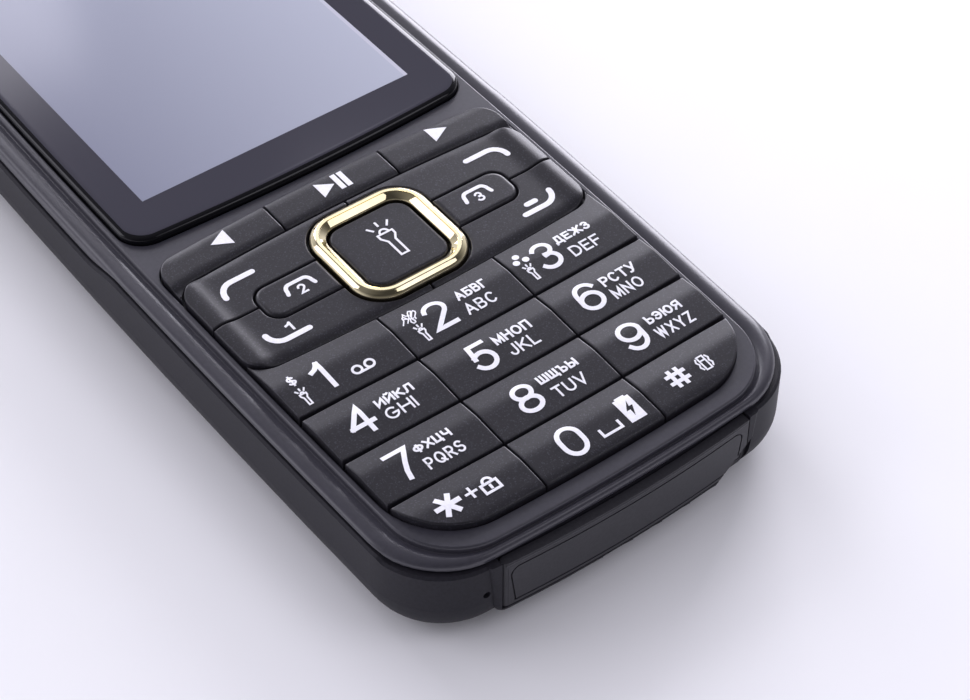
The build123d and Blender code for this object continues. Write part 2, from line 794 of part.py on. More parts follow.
# Battery with its contacts, and the card holders above it
battery_z = cover_thickness + 2 * cover_gap
battery = block(-bay_width / 2 + battery_gap, bay_width / 2 - battery_gap, bay_y + 2 * battery_gap,
                bay_end - battery_gap, battery_z, battery_z + battery_thickness)
parts["battery"] = fillet(battery.edges().filter_by(Axis.Y), battery_round)
contact_z = battery_z + battery_thickness / 2
contact = block(-contact_width / 2, contact_width / 2,
                bay_y + shell_gap, bay_y + 2 * battery_gap - shell_gap,
                contact_z - contact_height / 2, contact_z + contact_height / 2)
contacts = [Pos(i * contact_pitch, 0, 0) * contact for i in (-1, 0, 1)]
parts["battery_contacts"] = Compound(children=contacts)
card_x = (card_width + card_space) / 2
card_z = bay_z - card_thickness
holder = block(-card_width / 2, card_width / 2, -card_length / 2, card_length / 2, card_z, bay_z)
holder -= block(card_rim - card_width / 2, card_width,
                card_rim - card_length / 2, card_length / 2 - card_rim,
                card_z + card_sheet, bay_z - card_sheet)
high_y = bay_end - card_gap - card_length / 2
low_y = high_y - card_length - card_space
sims = [Pos(x, y, 0) * holder for x, y in ((-card_x, high_y), (card_x, high_y), (-card_x, low_y))]
parts["sim_holders"] = Compound(children=sims)
parts["memory_card_slot"] = Pos(card_x, low_y, 0) * holder
housing_screws = []
for x in (-boss_x, boss_x):
    shank = stud(x, boss_y, bay_z - screw_head_height, ceiling_z - part_gap, screw_diameter)
    housing_screws.append(shank + stud(x, boss_y, bay_z - screw_head_height, bay_z, screw_head))
parts["housing_screws"] = Compound(children=housing_screws)

# Dust flap: rubber panel hinged at its left end, with plugs for the two sockets
hinge_x = flap_thickness / 2 - flap_half
hinge_y = frame_face + end_sag(hinge_x) + flap_thickness / 2
flap = (end_slab(0) - end_slab(flap_thickness)) & end_plate(rect(hinge_x, flap_half, flap_low, flap_top))
flap += rod(hinge_x, hinge_y, flap_low, flap_top, flap_thickness - shell_gap)


def panel_face(inset):
    """Raised panel on the flap's face, narrower at its foot."""
    top_half = flap_half - panel_side - inset
    low, high = flap_low + panel_low + inset, flap_top - panel_top - inset
    low_half = top_half - panel_taper
    corners = [(-low_half, low), (low_half, low), (top_half, high), (-top_half, high)]
    face = make_face(Polyline(*corners, close=True))
    return fillet(face.vertices().group_by(Axis.Y)[-1], panel_corner - inset)


flap -= end_plate(panel_face(0) - panel_face(panel_groove)) - end_slab(panel_groove)
flap -= nail_scoop
plug_w = usb_width - 2 * usb_wall - 2 * plug_gap
plug_h = usb_height - 2 * usb_wall - 2 * plug_gap
flap += block(-plug_w / 2, plug_w / 2, flap_y - shell_gap, flap_y + plug_length,
              usb_z - plug_h / 2, usb_z + plug_h / 2)
plug_y = flap_y + end_sag(jack_offset) - shell_gap
flap += end_rod(jack_offset, jack_z, plug_y, plug_y + plug_length, jack_bore - 2 * plug_gap)
parts["dust_flap"] = flap

# Camera, loudspeaker, motor, antenna and torch in the upper bay
floor_z = back_floor + part_gap
camera = block(-camera_size / 2, camera_size / 2, camera_y - camera_size / 2, camera_y + camera_size / 2,
               floor_z, floor_z + camera_height)
parts["camera_module"] = camera
parts["camera_window"] = rod(0, camera_y, camera_recess, camera_recess + camera_glass, camera_hole)
speaker_x = speaker_width / 2
speaker = block(-speaker_x, speaker_x, speaker_low, speaker_low + speaker_length,
                floor_z, floor_z + speaker_height)
parts["loudspeaker"] = fillet(speaker.edges().filter_by(Axis.Z), speaker_corner)
motor_y = down(motor_down)
motor_offset = bay_half - motor_inset
motor_z = board_low_z - part_gap - weight_radius
motor_end = motor_y + motor_length
weight_y = motor_end + weight_gap
motor = end_rod(-motor_offset, motor_z, motor_y, motor_end, motor_diameter)
motor += end_rod(-motor_offset, motor_z, motor_end - shell_gap, weight_y + weight_length, motor_shaft)
parts["vibration_motor"] = motor
half_disc = end_rod(-motor_offset, motor_z, weight_y, weight_y + weight_length, 2 * weight_radius)
half_disc -= block(-motor_offset - motor_diameter, -motor_offset + motor_diameter,
                   weight_y - past, weight_y + weight_length + past,
                   motor_z + motor_shaft, motor_z + motor_diameter)
half_disc -= end_rod(-motor_offset, motor_z, weight_y - past, weight_y + weight_length + past,
                     motor_shaft + 2 * weight_bore_gap)
parts["vibration_weight"] = half_disc
antenna_z = board_low_z - part_gap
antenna = RectangleRounded(body_width - 2 * antenna_side, antenna_length, antenna_corner)
antenna = Pos(0, down(antenna_down) + antenna_length / 2) * antenna
parts["antenna"] = prism(antenna, antenna_z - antenna_height, antenna_z)
torch_y = y_top - torch_length - part_gap
parts["torch_lens"] = end_rod(0, torch_height, torch_y, torch_y + torch_length, torch_diameter)
parts["torch_led"] = block(-led_size / 2, led_size / 2, torch_y - part_gap - led_depth, torch_y - part_gap,
                           torch_height - led_size / 2, torch_height + led_size / 2)

os.makedirs("parts", exist_ok=True)
for name, shape in parts.items():
    export_step(shape, f"parts/{name}.step")
print(len(parts), "parts")
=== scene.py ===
"""Bar phone with a rubber socket flap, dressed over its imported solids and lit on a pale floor."""
import json
import math
import bmesh
import bpy
from mathutils import Matrix, Vector
from mathutils.geometry import delaunay_2d_cdt

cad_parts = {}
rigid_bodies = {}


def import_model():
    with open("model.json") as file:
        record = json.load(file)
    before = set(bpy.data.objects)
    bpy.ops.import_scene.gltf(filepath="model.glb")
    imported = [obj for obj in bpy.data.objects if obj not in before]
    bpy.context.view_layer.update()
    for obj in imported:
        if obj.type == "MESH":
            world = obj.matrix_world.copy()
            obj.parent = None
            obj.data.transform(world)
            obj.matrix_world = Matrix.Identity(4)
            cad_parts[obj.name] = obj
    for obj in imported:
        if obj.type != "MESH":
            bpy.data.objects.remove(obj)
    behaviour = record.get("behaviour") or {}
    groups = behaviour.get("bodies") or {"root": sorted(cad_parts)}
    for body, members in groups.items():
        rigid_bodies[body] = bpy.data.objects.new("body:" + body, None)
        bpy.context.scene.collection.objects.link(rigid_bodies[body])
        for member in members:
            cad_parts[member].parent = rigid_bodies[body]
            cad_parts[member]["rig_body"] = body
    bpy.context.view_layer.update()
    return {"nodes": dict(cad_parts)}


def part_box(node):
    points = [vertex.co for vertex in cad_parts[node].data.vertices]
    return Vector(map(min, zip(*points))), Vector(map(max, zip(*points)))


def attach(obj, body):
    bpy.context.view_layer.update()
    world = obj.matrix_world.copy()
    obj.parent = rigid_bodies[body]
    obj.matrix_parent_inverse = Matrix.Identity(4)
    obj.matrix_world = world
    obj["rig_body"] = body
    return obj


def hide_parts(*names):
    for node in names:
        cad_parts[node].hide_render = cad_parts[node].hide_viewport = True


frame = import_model()
bpy.context.scene.view_settings.view_transform = "Standard"


# Rear housing: the tray that holds the board and the battery and forms the flat side walls.
# Injection-moulded charcoal ABS with a fine spark-eroded grain and a chamfered upper edge.
# Two screws and a row of clips join it to the front housing along the dark seam.
MM = 0.001


def linear(hex_colour):
    """Linear RGBA of an sRGB hex colour."""
    shares = [int(hex_colour[place:place + 2], 16) / 255 for place in (1, 3, 5)]
    return [s / 12.92 if s <= 0.04045 else ((s + 0.055) / 1.055) ** 2.4 for s in shares] + [1.0]


def add(tree, kind, inputs=None, **settings):
    """Adds a node of that kind with its settings, and sets or links its inputs."""
    node = tree.nodes.new(kind)
    for name, value in settings.items():
        setattr(node, name, value)
    for name, value in (inputs or {}).items():
        if isinstance(value, bpy.types.NodeSocket):
            tree.links.new(value, node.inputs[name])
        else:
            node.inputs[name].default_value = value
    return node


def new_finish(name, roughness, metallic=0.0, ior=1.5):
    """A material with its plain numbers on the shader, its node tree and its shader."""
    finish = bpy.data.materials.new(name)
    finish.use_nodes = True
    shader = finish.node_tree.nodes["Principled BSDF"]
    shader.inputs["Roughness"].default_value = roughness
    shader.inputs["Metallic"].default_value = metallic
    shader.inputs["IOR"].default_value = ior
    return finish, finish.node_tree, shader


TONE_STOPS, GRAIN_DETAIL = (0.35, 0.65), 3.0


def mottled(name, dark, light, grain, roughness, metallic=0.0, ior=1.5, depth=0.0):
    """A material that drifts between two tones over a grain in millimetres and is raised by it to a depth."""
    finish, tree, shader = new_finish(name, roughness, metallic, ior)
    place = add(tree, "ShaderNodeTexCoord")
    noise = add(tree, "ShaderNodeTexNoise", {"Vector": place.outputs["Object"], "Scale": 1 / (grain * MM),
                                             "Detail": GRAIN_DETAIL})
    ramp = add(tree, "ShaderNodeValToRGB", {"Fac": noise.outputs["Fac"]})
    for stop, at, tone in zip(ramp.color_ramp.elements, TONE_STOPS, (dark, light)):
        stop.position = at
        stop.color = linear(tone)
    tree.links.new(ramp.outputs["Color"], shader.inputs["Base Color"])
    if depth:
        bump = add(tree, "ShaderNodeBump", {"Height": noise.outputs["Fac"], "Distance": depth * MM})
        tree.links.new(bump.outputs["Normal"], shader.inputs["Normal"])
    return finish


def paint(node, finish):
    """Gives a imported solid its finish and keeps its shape."""
    solid = frame["nodes"][node]
    solid.data.materials.clear()
    solid.data.materials.append(finish)


# Grained ABS: dull, even violet charcoal, whose flat walls hardly mirror the floor.
# Its grain is drawn coarser than a real one, so that it shows.
grained_abs = mottled("spark_grained_charcoal_abs", "#201f25", "#26252c", 0.35, 0.52, ior=1.32, depth=0.004)
paint("rear_housing", grained_abs)


# Front housing: the frame round the keypad and the display, with a rounded rim and a raised deck.
# The same charcoal ABS as the tray from a polished mould, in one with the pocket for the lens.
# It snaps and screws onto the tray, leaving a fine dark groove between them.
# Satin ABS: violet charcoal with a soft broad gloss that runs along the rim.
satin_abs = mottled("satin_charcoal_abs", "#37363e", "#3c3b43", 0.5, 0.3, ior=1.6)
SIDE_BOW, END_BOW = 1900.0, 330.0
CORNER_STEPS, SIDE_STEPS, END_STEPS = 12, 90, 20


def bowed_loop(half, low, high, r_low, r_high):
    """Closed plan loop in millimetres, counterclockwise, whose sides and ends bulge like the body's."""
    corners = [(half - r_low, low + r_low, r_low, -90), (half - r_high, high - r_high, r_high, 0),
               (r_high - half, high - r_high, r_high, 90), (r_low - half, low + r_low, r_low, 180)]
    loop = []
    for place, (x, y, r, turn) in enumerate(corners):
        for step in range(CORNER_STEPS + 1):
            angle = math.radians(turn + 90 * step / CORNER_STEPS)
            loop.append(Vector((x + r * math.cos(angle), y + r * math.sin(angle))))
        x, y, r, turn = corners[(place + 1) % 4]
        angle = math.radians(turn)
        start, end = loop[-1], Vector((x + r * math.cos(angle), y + r * math.sin(angle)))
        steps = SIDE_STEPS if place % 2 == 0 else END_STEPS
        loop += [start.lerp(end, step / steps) for step in range(1, steps)]
    for p in loop:
        p.y += (1 - 2 * (p.y - low) / (high - low)) * p.x ** 2 / (2 * END_BOW)
        p.x -= p.x / half * p.y ** 2 / (2 * SIDE_BOW)
    return loop


BODY_HALF, BODY_LOW, BODY_HIGH, BODY_CORNER = 28.2, -65.7, 66.5, 9.5
DECK_SIDE, DECK_END, DECK_Z = 3.15, 1.6, 12.9
# Half width, low end, high end and the corner radii there, of the keypad and of the lens
PAD = (24.1, -61.7, -7.1, 8.6, 3.2)
LENS = (24.35, -5.1, 63.1, 3.4, 5.6)


def body_loop(margin):
    """The tray's outline, moved outward by a margin in millimetres."""
    return bowed_loop(BODY_HALF + margin, BODY_LOW - margin, BODY_HIGH + margin, BODY_CORNER + margin,
                      BODY_CORNER + margin)


def deck_loop(margin):
    """The deck's outline, moved outward by a margin in millimetres."""
    corner = BODY_CORNER - DECK_END + margin
    return bowed_loop(BODY_HALF - DECK_SIDE + margin, BODY_LOW + DECK_END - margin,
                      BODY_HIGH - DECK_END + margin, corner, corner)


def grown(outline, margin):
    """An outline of the keypad or the lens, moved outward by a margin in millimetres."""
    half, low, high, r_low, r_high = outline
    return bowed_loop(half + margin, low - margin, high + margin, r_low + margin, r_high + margin)


def ramp_between(value, low, high):
    """Smooth share from 0 to 1 between two places."""
    share = min(max((value - low) / (high - low), 0), 1)
    return share * share * (3 - 2 * share)


SEAM_Z, SEAM_RISE, SEAM_DIP = 11.05, 0.35, 1.1
RISE_FROM, RISE_TO, DIP_FROM, DIP_TO = -58.1, -56.9, -6.5, 1.0


def seam(y):
    """Height of the seam in millimetres, which dips beside the display and round the bottom end."""
    rise = SEAM_RISE * ramp_between(y, RISE_FROM, RISE_TO)
    return SEAM_Z + rise - SEAM_DIP * ramp_between(y, DIP_FROM, DIP_TO)


def raised(loop, height):
    """Points of a plan loop at a height, or at the height that a function of x and y gives."""
    return [Vector((p.x, p.y, height(p.x, p.y) if callable(height) else height)) * MM for p in loop]


def weave(work, rings):
    """Joins closed rings of equal count by faces and gives their vertices."""
    made = [[work.verts.new(point) for point in ring] for ring in rings]
    for near, far in zip(made, made[1:]):
        for place in range(len(near)):
            after = (place + 1) % len(near)
            work.faces.new((near[place], near[after], far[after], far[place]))
    return made


def inside(x, y, loops):
    """Whether a place lies inside an odd number of plan loops."""
    odd = False
    for loop in loops:
        for a, b in zip(loop, loop[1:] + loop[:1]):
            if (a.y > y) != (b.y > y) and x < a.x + (b.x - a.x) * (y - a.y) / (b.y - a.y):
                odd = not odd
    return odd


def cap(work, loops, free=(), height=None):
    """Fills the first loop of vertices apart from the later ones, over free points at a height function."""
    outlines = [[Vector((vert.co.x / MM, vert.co.y / MM)) for vert in loop] for loop in loops]
    rim = [vert for loop in loops for vert in loop]
    edges, start = [], 0
    for loop in loops:
        edges += [(start + place, start + (place + 1) % len(loop)) for place in range(len(loop))]
        start += len(loop)
    flat = [point for outline in outlines for point in outline] + [Vector(point) for point in free]
    points, _, faces, origins, _, _ = delaunay_2d_cdt(flat, edges, [], 2, 1e-6)
    verts = {}
    for face in faces:
        x, y = (sum(points[place][axis] for place in face) / len(face) for axis in (0, 1))
        if not inside(x, y, outlines):
            continue
        for place in face:
            known = [source for source in origins[place] if source < len(rim)]
            if place not in verts and known:
                verts[place] = rim[known[0]]
            elif place not in verts:
                verts[place] = work.verts.new(Vector((*points[place], height(*points[place]))) * MM)
        work.faces.new([verts[place] for place in face])


def brick(work, low, high):
    """A closed box between two corners in millimetres."""
    (x, y, bottom_z), (far_x, far_y, top_z) = low, high
    corners = [Vector(p) for p in ((x, y), (far_x, y), (far_x, far_y), (x, far_y))]
    bottom, top = weave(work, [raised(corners, bottom_z), raised(corners, top_z)])
    work.faces.new(bottom)
    work.faces.new(top)


SMOOTH_TURN = math.radians(38)


def settle(work, name, finish, body):
    """Turns the faces outward, makes the mesh an object with its finish and sets it on a body."""
    bmesh.ops.recalc_face_normals(work, faces=work.faces)
    mesh = bpy.data.meshes.new(name)
    work.to_mesh(mesh)
    work.free()
    mesh.materials.append(finish)
    mesh.shade_smooth()
    mesh.set_sharp_from_angle(angle=SMOOTH_TURN)
    piece = bpy.data.objects.new(name, mesh)
    bpy.context.collection.objects.link(piece)
    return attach(piece, body)


def stand_for(work, node, finish):
    """The mesh takes a node's place and body."""
    solid = frame["nodes"][node]
    piece = settle(work, "dressed_" + node, finish, solid["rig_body"])
    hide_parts(node)


CEILING, POCKET, ROUND_STEPS, WALL_IN, RIM_IN = 11.7, 12.3, 8, 1.85, 0.45
RIM_FOOT, RIM_OVER_SEAM, RIM_SHARE, RIM_TOP = 11.6, 0.4, 0.48, 12.31
outer, inner = body_loop(-RIM_IN), deck_loop(0)


def rim_foot(y):
    """Height in millimetres at which the rim's round begins."""
    return max(RIM_FOOT, seam(y) + RIM_OVER_SEAM)


work = bmesh.new()
# The wall inside the tray, the tongue and the groove: how far in and how far over the seam
rings = [raised(body_loop(-WALL_IN), CEILING)]
for depth, over in ((WALL_IN, 0.05), (0.85, 0.05), (0.85, 0.3), (0.53, 0.3), (RIM_IN, 0.36)):
    rings.append(raised(body_loop(-depth), lambda x, y: seam(y) + over))
# The rim's round, from its foot to its crest
for step in range(ROUND_STEPS + 1):
    angle = math.radians(90 * step / ROUND_STEPS)
    share = RIM_SHARE * (1 - math.cos(angle))
    ring = [a.lerp(b, share) for a, b in zip(outer, inner)]
    rings.append(raised(ring, lambda x, y: rim_foot(y) + (RIM_TOP - rim_foot(y)) * math.sin(angle)))
# Behind its crest the rim falls to the foot of the deck's steep wall
for share, height in ((0.58, 12.29), (0.68, 12.24), (0.78, 12.16), (0.86, 12.09), (0.91, 12.06),
                      (0.94, 12.09), (0.955, 12.2), (0.965, 12.4), (0.975, 12.6), (1.0, 12.72)):
    rings.append(raised([a.lerp(b, share) for a, b in zip(outer, inner)], height))
for margin, height in ((-0.06, 12.82), (-0.12, 12.87), (-0.18, DECK_Z), (-0.22, DECK_Z)):
    rings.append(raised(deck_loop(margin), height))
shell = weave(work, rings)
keypad = weave(work, [raised(grown(PAD, margin), height) for margin, height in (
    (0.42, DECK_Z), (0.35, DECK_Z), (0.29, 12.87), (0.25, 12.79), (0.25, CEILING))])
pocket = weave(work, [raised(grown(LENS, margin), height) for margin, height in (
    (0.3, DECK_Z), (0.24, DECK_Z), (0.16, 12.87), (0.12, 12.8), (0.12, POCKET))])
cap(work, [shell[-1], keypad[0], pocket[0]])
DISPLAY_WELL, EARPIECE_WELL = (21.55, -1.7, 56.2), (6.1, 56.6, 61.8)
wells = []
for half, low, high in (DISPLAY_WELL, EARPIECE_WELL):
    well = [Vector(p) for p in ((-half, low), (half, low), (half, high), (-half, high))]
    wells.append(weave(work, [raised(well, POCKET), raised(well, CEILING)]))
cap(work, [pocket[-1]] + [well[0] for well in wells])
cap(work, [shell[0], keypad[-1]] + [well[1] for well in wells])
BOSS_X, BOSS_Y, BOSS_HALF, BOSS_LOW, SINK = 16.5, -4.28, 1.7, 9.85, 0.05
for x in (-BOSS_X, BOSS_X):
    brick(work, (x - BOSS_HALF, BOSS_Y - BOSS_HALF, BOSS_LOW),
          (x + BOSS_HALF, BOSS_Y + BOSS_HALF, CEILING + SINK))
stand_for(work, "front_housing", satin_abs)


# Display module: a bought-in panel in a thin frame, covered by the lens.
# Its polariser has a fine matt surface over glass in a steel tray; foam tape holds it under the deck.
# Polariser: pale even grey, the tone that shows when the picture is off.
unlit_panel = mottled("unlit_display_polariser", "#8d8a98", "#a5a5b2", 40.0, 0.3)
paint("lcd_module", unlit_panel)


# Display lens: an acrylic sheet, printed charcoal on its back round the bare picture window.
# Its rounded edge is painted black, and tape holds it in the front housing's pocket.
# Acrylic: glossy charcoal border, black edge and, in the window, the pale unlit panel close under it.
# In the window, a painted reflection lightens the panel's tone toward the right, and a painted highlight
# strip runs along its right edge.
lens_acrylic, tree, shader = new_finish("back_printed_acrylic_with_painted_light", 0.12, ior=1.42)
place = add(tree, "ShaderNodeTexCoord")
axes = add(tree, "ShaderNodeSeparateXYZ", {"Vector": place.outputs["Object"]})
# The glint strip's width is that of a painted highlight along the window's right edge.
WINDOW_HALF, WINDOW_LOW, WINDOW_HIGH, PAINTED_GLINT, FACE_LOW, FACE_HIGH = 19.3, 1.6, 51.8, 0.5, 13.86, 14.1
# 1 inside a stretch of millimetres along an axis, else 0
stretches = {}
for name, axis, low, high in (("across", "X", -WINDOW_HALF, WINDOW_HALF),
                              ("along", "Y", WINDOW_LOW, WINDOW_HIGH), ("face", "Z", FACE_LOW, FACE_HIGH),
                              ("glint", "X", WINDOW_HALF - PAINTED_GLINT, WINDOW_HALF)):
    inputs = {0: axes.outputs[axis], 1: (low + high) / 2 * MM, 2: (high - low) / 2 * MM}
    stretches[name] = add(tree, "ShaderNodeMath", inputs, operation="COMPARE").outputs["Value"]
window = stretches["face"]
for name in ("across", "along"):
    inputs = {0: window, 1: stretches[name]}
    window = add(tree, "ShaderNodeMath", inputs, operation="MULTIPLY").outputs["Value"]
# A painted reflection: a share that rises from the window's left edge to its right and lightens the panel's
# tone.
painted_reflection = add(tree, "ShaderNodeMapRange", {"Value": axes.outputs["X"], "From Min": -WINDOW_HALF * MM,
                                         "From Max": WINDOW_HALF * MM}).outputs["Result"]
# Each coat covers the one before by its share: over the panel's tone its painted reflection and its painted
# highlight strip, over the black edge the border of the face, and over that the window with the panel and its
# painted light
panel_and_painted_light, border = linear("#888b9b"), linear("#0c0c10")
for share, tone in ((painted_reflection, "#b3b7c4"), (stretches["glint"], "#c4c5d0")):
    inputs = {"Factor": share, "A": panel_and_painted_light, "B": linear(tone)}
    panel_and_painted_light = add(tree, "ShaderNodeMix", inputs, data_type="RGBA").outputs["Result"]
for share, coat in ((stretches["face"], linear("#3d3c45")), (window, panel_and_painted_light)):
    inputs = {"Factor": share, "A": border, "B": coat}
    border = add(tree, "ShaderNodeMix", inputs, data_type="RGBA").outputs["Result"]
tree.links.new(border, shader.inputs["Base Color"])

LENS_TOP, LENS_LOW, EDGE_WIDTH, EDGE_DROP, EDGE_FOOT, EDGE_SHELF = 13.9, 12.4, 1.1, 0.5, 0.08, 0.15
SLOT_HALF, SLOT_RADIUS, SLOT_Y = 4.2, 0.9, 59.2
work = bmesh.new()
rings = [raised(grown(LENS, 0), LENS_LOW), raised(grown(LENS, 0), LENS_TOP - EDGE_DROP - EDGE_FOOT)]
for step in range(ROUND_STEPS + 1):
    angle = math.radians(90 * step / ROUND_STEPS)
    rings.append(raised(grown(LENS, -EDGE_WIDTH * (1 - math.cos(angle))),
                        LENS_TOP - EDGE_DROP * (1 - math.sin(angle))))
rings.append(raised(grown(LENS, -EDGE_WIDTH - EDGE_SHELF), LENS_TOP))
lens = weave(work, rings)
slot = []
for side, turn in ((1, -90), (-1, 90)):
    for step in range(CORNER_STEPS + 1):
        angle = math.radians(turn + 180 * step / CORNER_STEPS)
        slot.append(Vector((side * SLOT_HALF + SLOT_RADIUS * math.cos(angle),
                            SLOT_Y + SLOT_RADIUS * math.sin(angle))))
hole = weave(work, [raised(slot, LENS_LOW), raised(slot, LENS_TOP)])
cap(work, [lens[0], hole[0]])
cap(work, [lens[-1], hole[1]])
stand_for(work, "display_lens", lens_acrylic)


# Keys: moulded in clear plastic, painted in pearl charcoal, with white legends.
# Each sits on a plunger over the silicone mat and slides in its cell of the keypad opening.
# Pearl paint: satin charcoal with fine mica flakes that give the keys their faint sparkle.
# The flakes are drawn coarser than real ones, so that they show.
key_paint, tree, shader = new_finish("pearl_charcoal_key_paint", 0.34, ior=1.45)
place = add(tree, "ShaderNodeTexCoord")
FLAKE, FEW_FLAKES = 0.13, 9.0
flakes = add(tree, "ShaderNodeTexVoronoi", {"Vector": place.outputs["Object"], "Scale": 1 / (FLAKE * MM)})
tint = add(tree, "ShaderNodeSeparateColor", {"Color": flakes.outputs["Color"]})
flash = add(tree, "ShaderNodeMath", {0: tint.outputs["Red"], 1: FEW_FLAKES}, operation="POWER")
pearl = add(tree, "ShaderNodeMix", {"Factor": flash.outputs["Value"], "A": linear("#201f24"),
                                    "B": linear("#3c3b44")}, data_type="RGBA")
tree.links.new(pearl.outputs["Result"], shader.inputs["Base Color"])


WELD, LEVEL_WITHIN, DOWNWARD = 0.002, 0.02, -0.99


def outline_of(node, level):
    """Longest plan loop, counterclockwise in millimetres, of a node's face that looks down at a level."""
    work = bmesh.new()
    work.from_mesh(frame["nodes"][node].data)
    bmesh.ops.remove_doubles(work, verts=work.verts, dist=WELD * MM)
    chosen = {face for face in work.faces if face.normal.z < DOWNWARD
              and abs(face.calc_center_median().z / MM - level) < LEVEL_WITHIN}
    after = {}
    for face in chosen:
        for corner in face.loops:
            if not any(other in chosen for other in corner.edge.link_faces if other is not face):
                after[corner.vert] = corner.link_loop_next.vert
    loops = []
    while after:
        start, vert = next(iter(after.items()))
        loop = [start]
        del after[start]
        while vert in after:
            loop.append(vert)
            vert = after.pop(vert)
        loops.append([Vector((v.co.x / MM, v.co.y / MM)) for v in loop])
    work.free()

    def girth(loop):
        return sum((a - b).length for a, b in zip(loop, loop[1:] + loop[:1]))

    return max(loops, key=girth)[::-1]


def spread(loop, step):
    """The loop with its long edges divided to a step in millimetres."""
    made = []
    for near, far in zip(loop, loop[1:] + loop[:1]):
        count = max(1, math.ceil((far - near).length / step))
        made += [near.lerp(far, place / count) for place in range(count)]
    return made


LEAST_SHARE = 0.4


def inset(loop, depth):
    """The counterclockwise loop moved inward by a depth in millimetres, with mitred corners."""
    made = []
    for before, here, after in zip(loop[-1:] + loop[:-1], loop, loop[1:] + loop[:1]):
        first, second = (here - before).normalized(), (after - here).normalized()
        mean = Vector((-first.y - second.y, first.x + second.x))
        mean.normalize()
        share = max(mean.dot(Vector((-first.y, first.x))), LEAST_SHARE)
        made.append(here + mean * depth / share)
    return made


# The shelf behind a rounded edge is in shares of its radius, the clear strip round the top's points in steps
KEY_STEP, EDGE_STEPS, SHELF, CLEAR, STEM_BELOW = 0.6, 4, 1.5, 0.6, 0.1


def key_cap(node, level, height, edge):
    """Stands for a key: walls, an edge rounded to a radius, a top at a height function and its plunger."""
    loop = spread(outline_of(node, level), KEY_STEP)
    work = bmesh.new()
    rings = [raised(loop, level)]
    for step in range(EDGE_STEPS + 1):
        angle = math.radians(90 * step / EDGE_STEPS)
        ring = inset(loop, edge * (1 - math.cos(angle)))
        drop = edge * (1 - math.sin(angle))
        rings.append(raised(ring, lambda x, y: height(x, y) - drop))
    rings.append(raised(inset(loop, SHELF * edge), height))
    made = weave(work, rings)
    clear = inset(loop, edge + CLEAR * KEY_STEP)
    xs, ys = [p.x for p in loop], [p.y for p in loop]
    free = []
    for row in range(int((max(ys) - min(ys)) / KEY_STEP) + 1):
        y = min(ys) + row * KEY_STEP
        cuts = []
        for a, b in zip(clear, clear[1:] + clear[:1]):
            if (a.y > y) != (b.y > y):
                cuts.append(a.x + (b.x - a.x) * (y - a.y) / (b.y - a.y))
        cuts.sort()
        for low, high in zip(cuts[::2], cuts[1::2]):
            count = max(1, round((high - low) / KEY_STEP))
            free += [(low + (high - low) * place / count, y) for place in range(count + 1)]
    cap(work, [made[-1]], free, height)
    cap(work, [made[0]])
    stem = [v.co / MM for v in frame["nodes"][node].data.vertices if v.co.z / MM < level - STEM_BELOW]
    low = [min(p[axis] for p in stem) for axis in range(3)]
    high = [max(p[axis] for p in stem) for axis in range(2)] + [level + SINK]
    brick(work, low, high)
    stand_for(work, node, key_paint)


KEY_PLANE, KEY_BASE, KEY_EDGE = 13.6, 12.15, 0.16
BLOCK_LOW, BLOCK_MIDDLE, BLOCK_HIGH, ROW_PITCH, LAST_ROW = -30.5, -21.35, -12.2, 7.9, 7.5
RIDGE_DOWN, RIDGE_RISE, RIDGE_SOFT, RIDGE_RUN_OUT = 3.0, 0.4, 0.45, 3.3
ROW_BOW, ROW_LEVEL = 600.0, 134.5
FLANK_AT, FLANK_SLOPE, FLANK_SOFT, CREST_AT, CREST_SLOPE, CREST_SOFT = 20.7, 0.19, 0.7, 22.7, 0.45, 0.5
TAB_RISE, TAB_EDGE = 0.15, 0.42
CENTRE_HALF, CENTRE_BASE, CENTRE_EDGE, CENTRE_RISE, CENTRE_DOME = 5.55, 12.75, 0.3, 0.1, 0.04
# Width and drop of the roll-off at the lower and upper edges
NUMBER_FOOT, MEDIA_FOOT, MEDIA_HEAD = (0.9, 0.18), (1.0, 0.4), (0.9, 0.2)
CALL_FOOT, CALL_HEAD = (1.5, 0.5), (0.8, 0.22)


def bend(value, reach):
    """0 below 0 and the value above it, with a soft turn of that reach each side."""
    if abs(value) < reach:
        return (value + reach) ** 2 / (4 * reach)
    return max(value, 0)


def fall(distance, width, drop):
    """How far a surface has rolled off at a distance from its edge."""
    return drop * (1 - min(max(distance / width, 0), 1)) ** 2


def row_dip(x):
    """How far a row's lines are moved along the body at x, since they dip in the middle."""
    return (x * x - ROW_LEVEL) / (2 * ROW_BOW)


def end_dip(x):
    """How far the lower and upper lines of the keypad and its blocks bend toward the middle at x."""
    return x * x / (2 * END_BOW)


def number_top(row):
    """Height function of one row of number keys: a soft ridge nearer its upper edge."""
    ridge_y = BLOCK_LOW - row * ROW_PITCH - RIDGE_DOWN
    depth = (LAST_ROW if row == 3 else ROW_PITCH) - RIDGE_DOWN + RIDGE_RUN_OUT

    def height(x, y):
        over = y - ridge_y - row_dip(x)
        below, above = bend(-over, RIDGE_SOFT) / depth, bend(over, RIDGE_SOFT) / RIDGE_DOWN
        return KEY_PLANE + RIDGE_RISE * (1 - below - above) - fall(y - PAD[1] - end_dip(x), *NUMBER_FOOT)

    return height


def media_top(x, y):
    """Height of the media keys, which roll off at the upper and lower edges."""
    low = fall(y - BLOCK_HIGH + end_dip(x), *MEDIA_FOOT)
    high = fall(PAD[2] - end_dip(x) - y, *MEDIA_HEAD)
    return KEY_PLANE - low - high


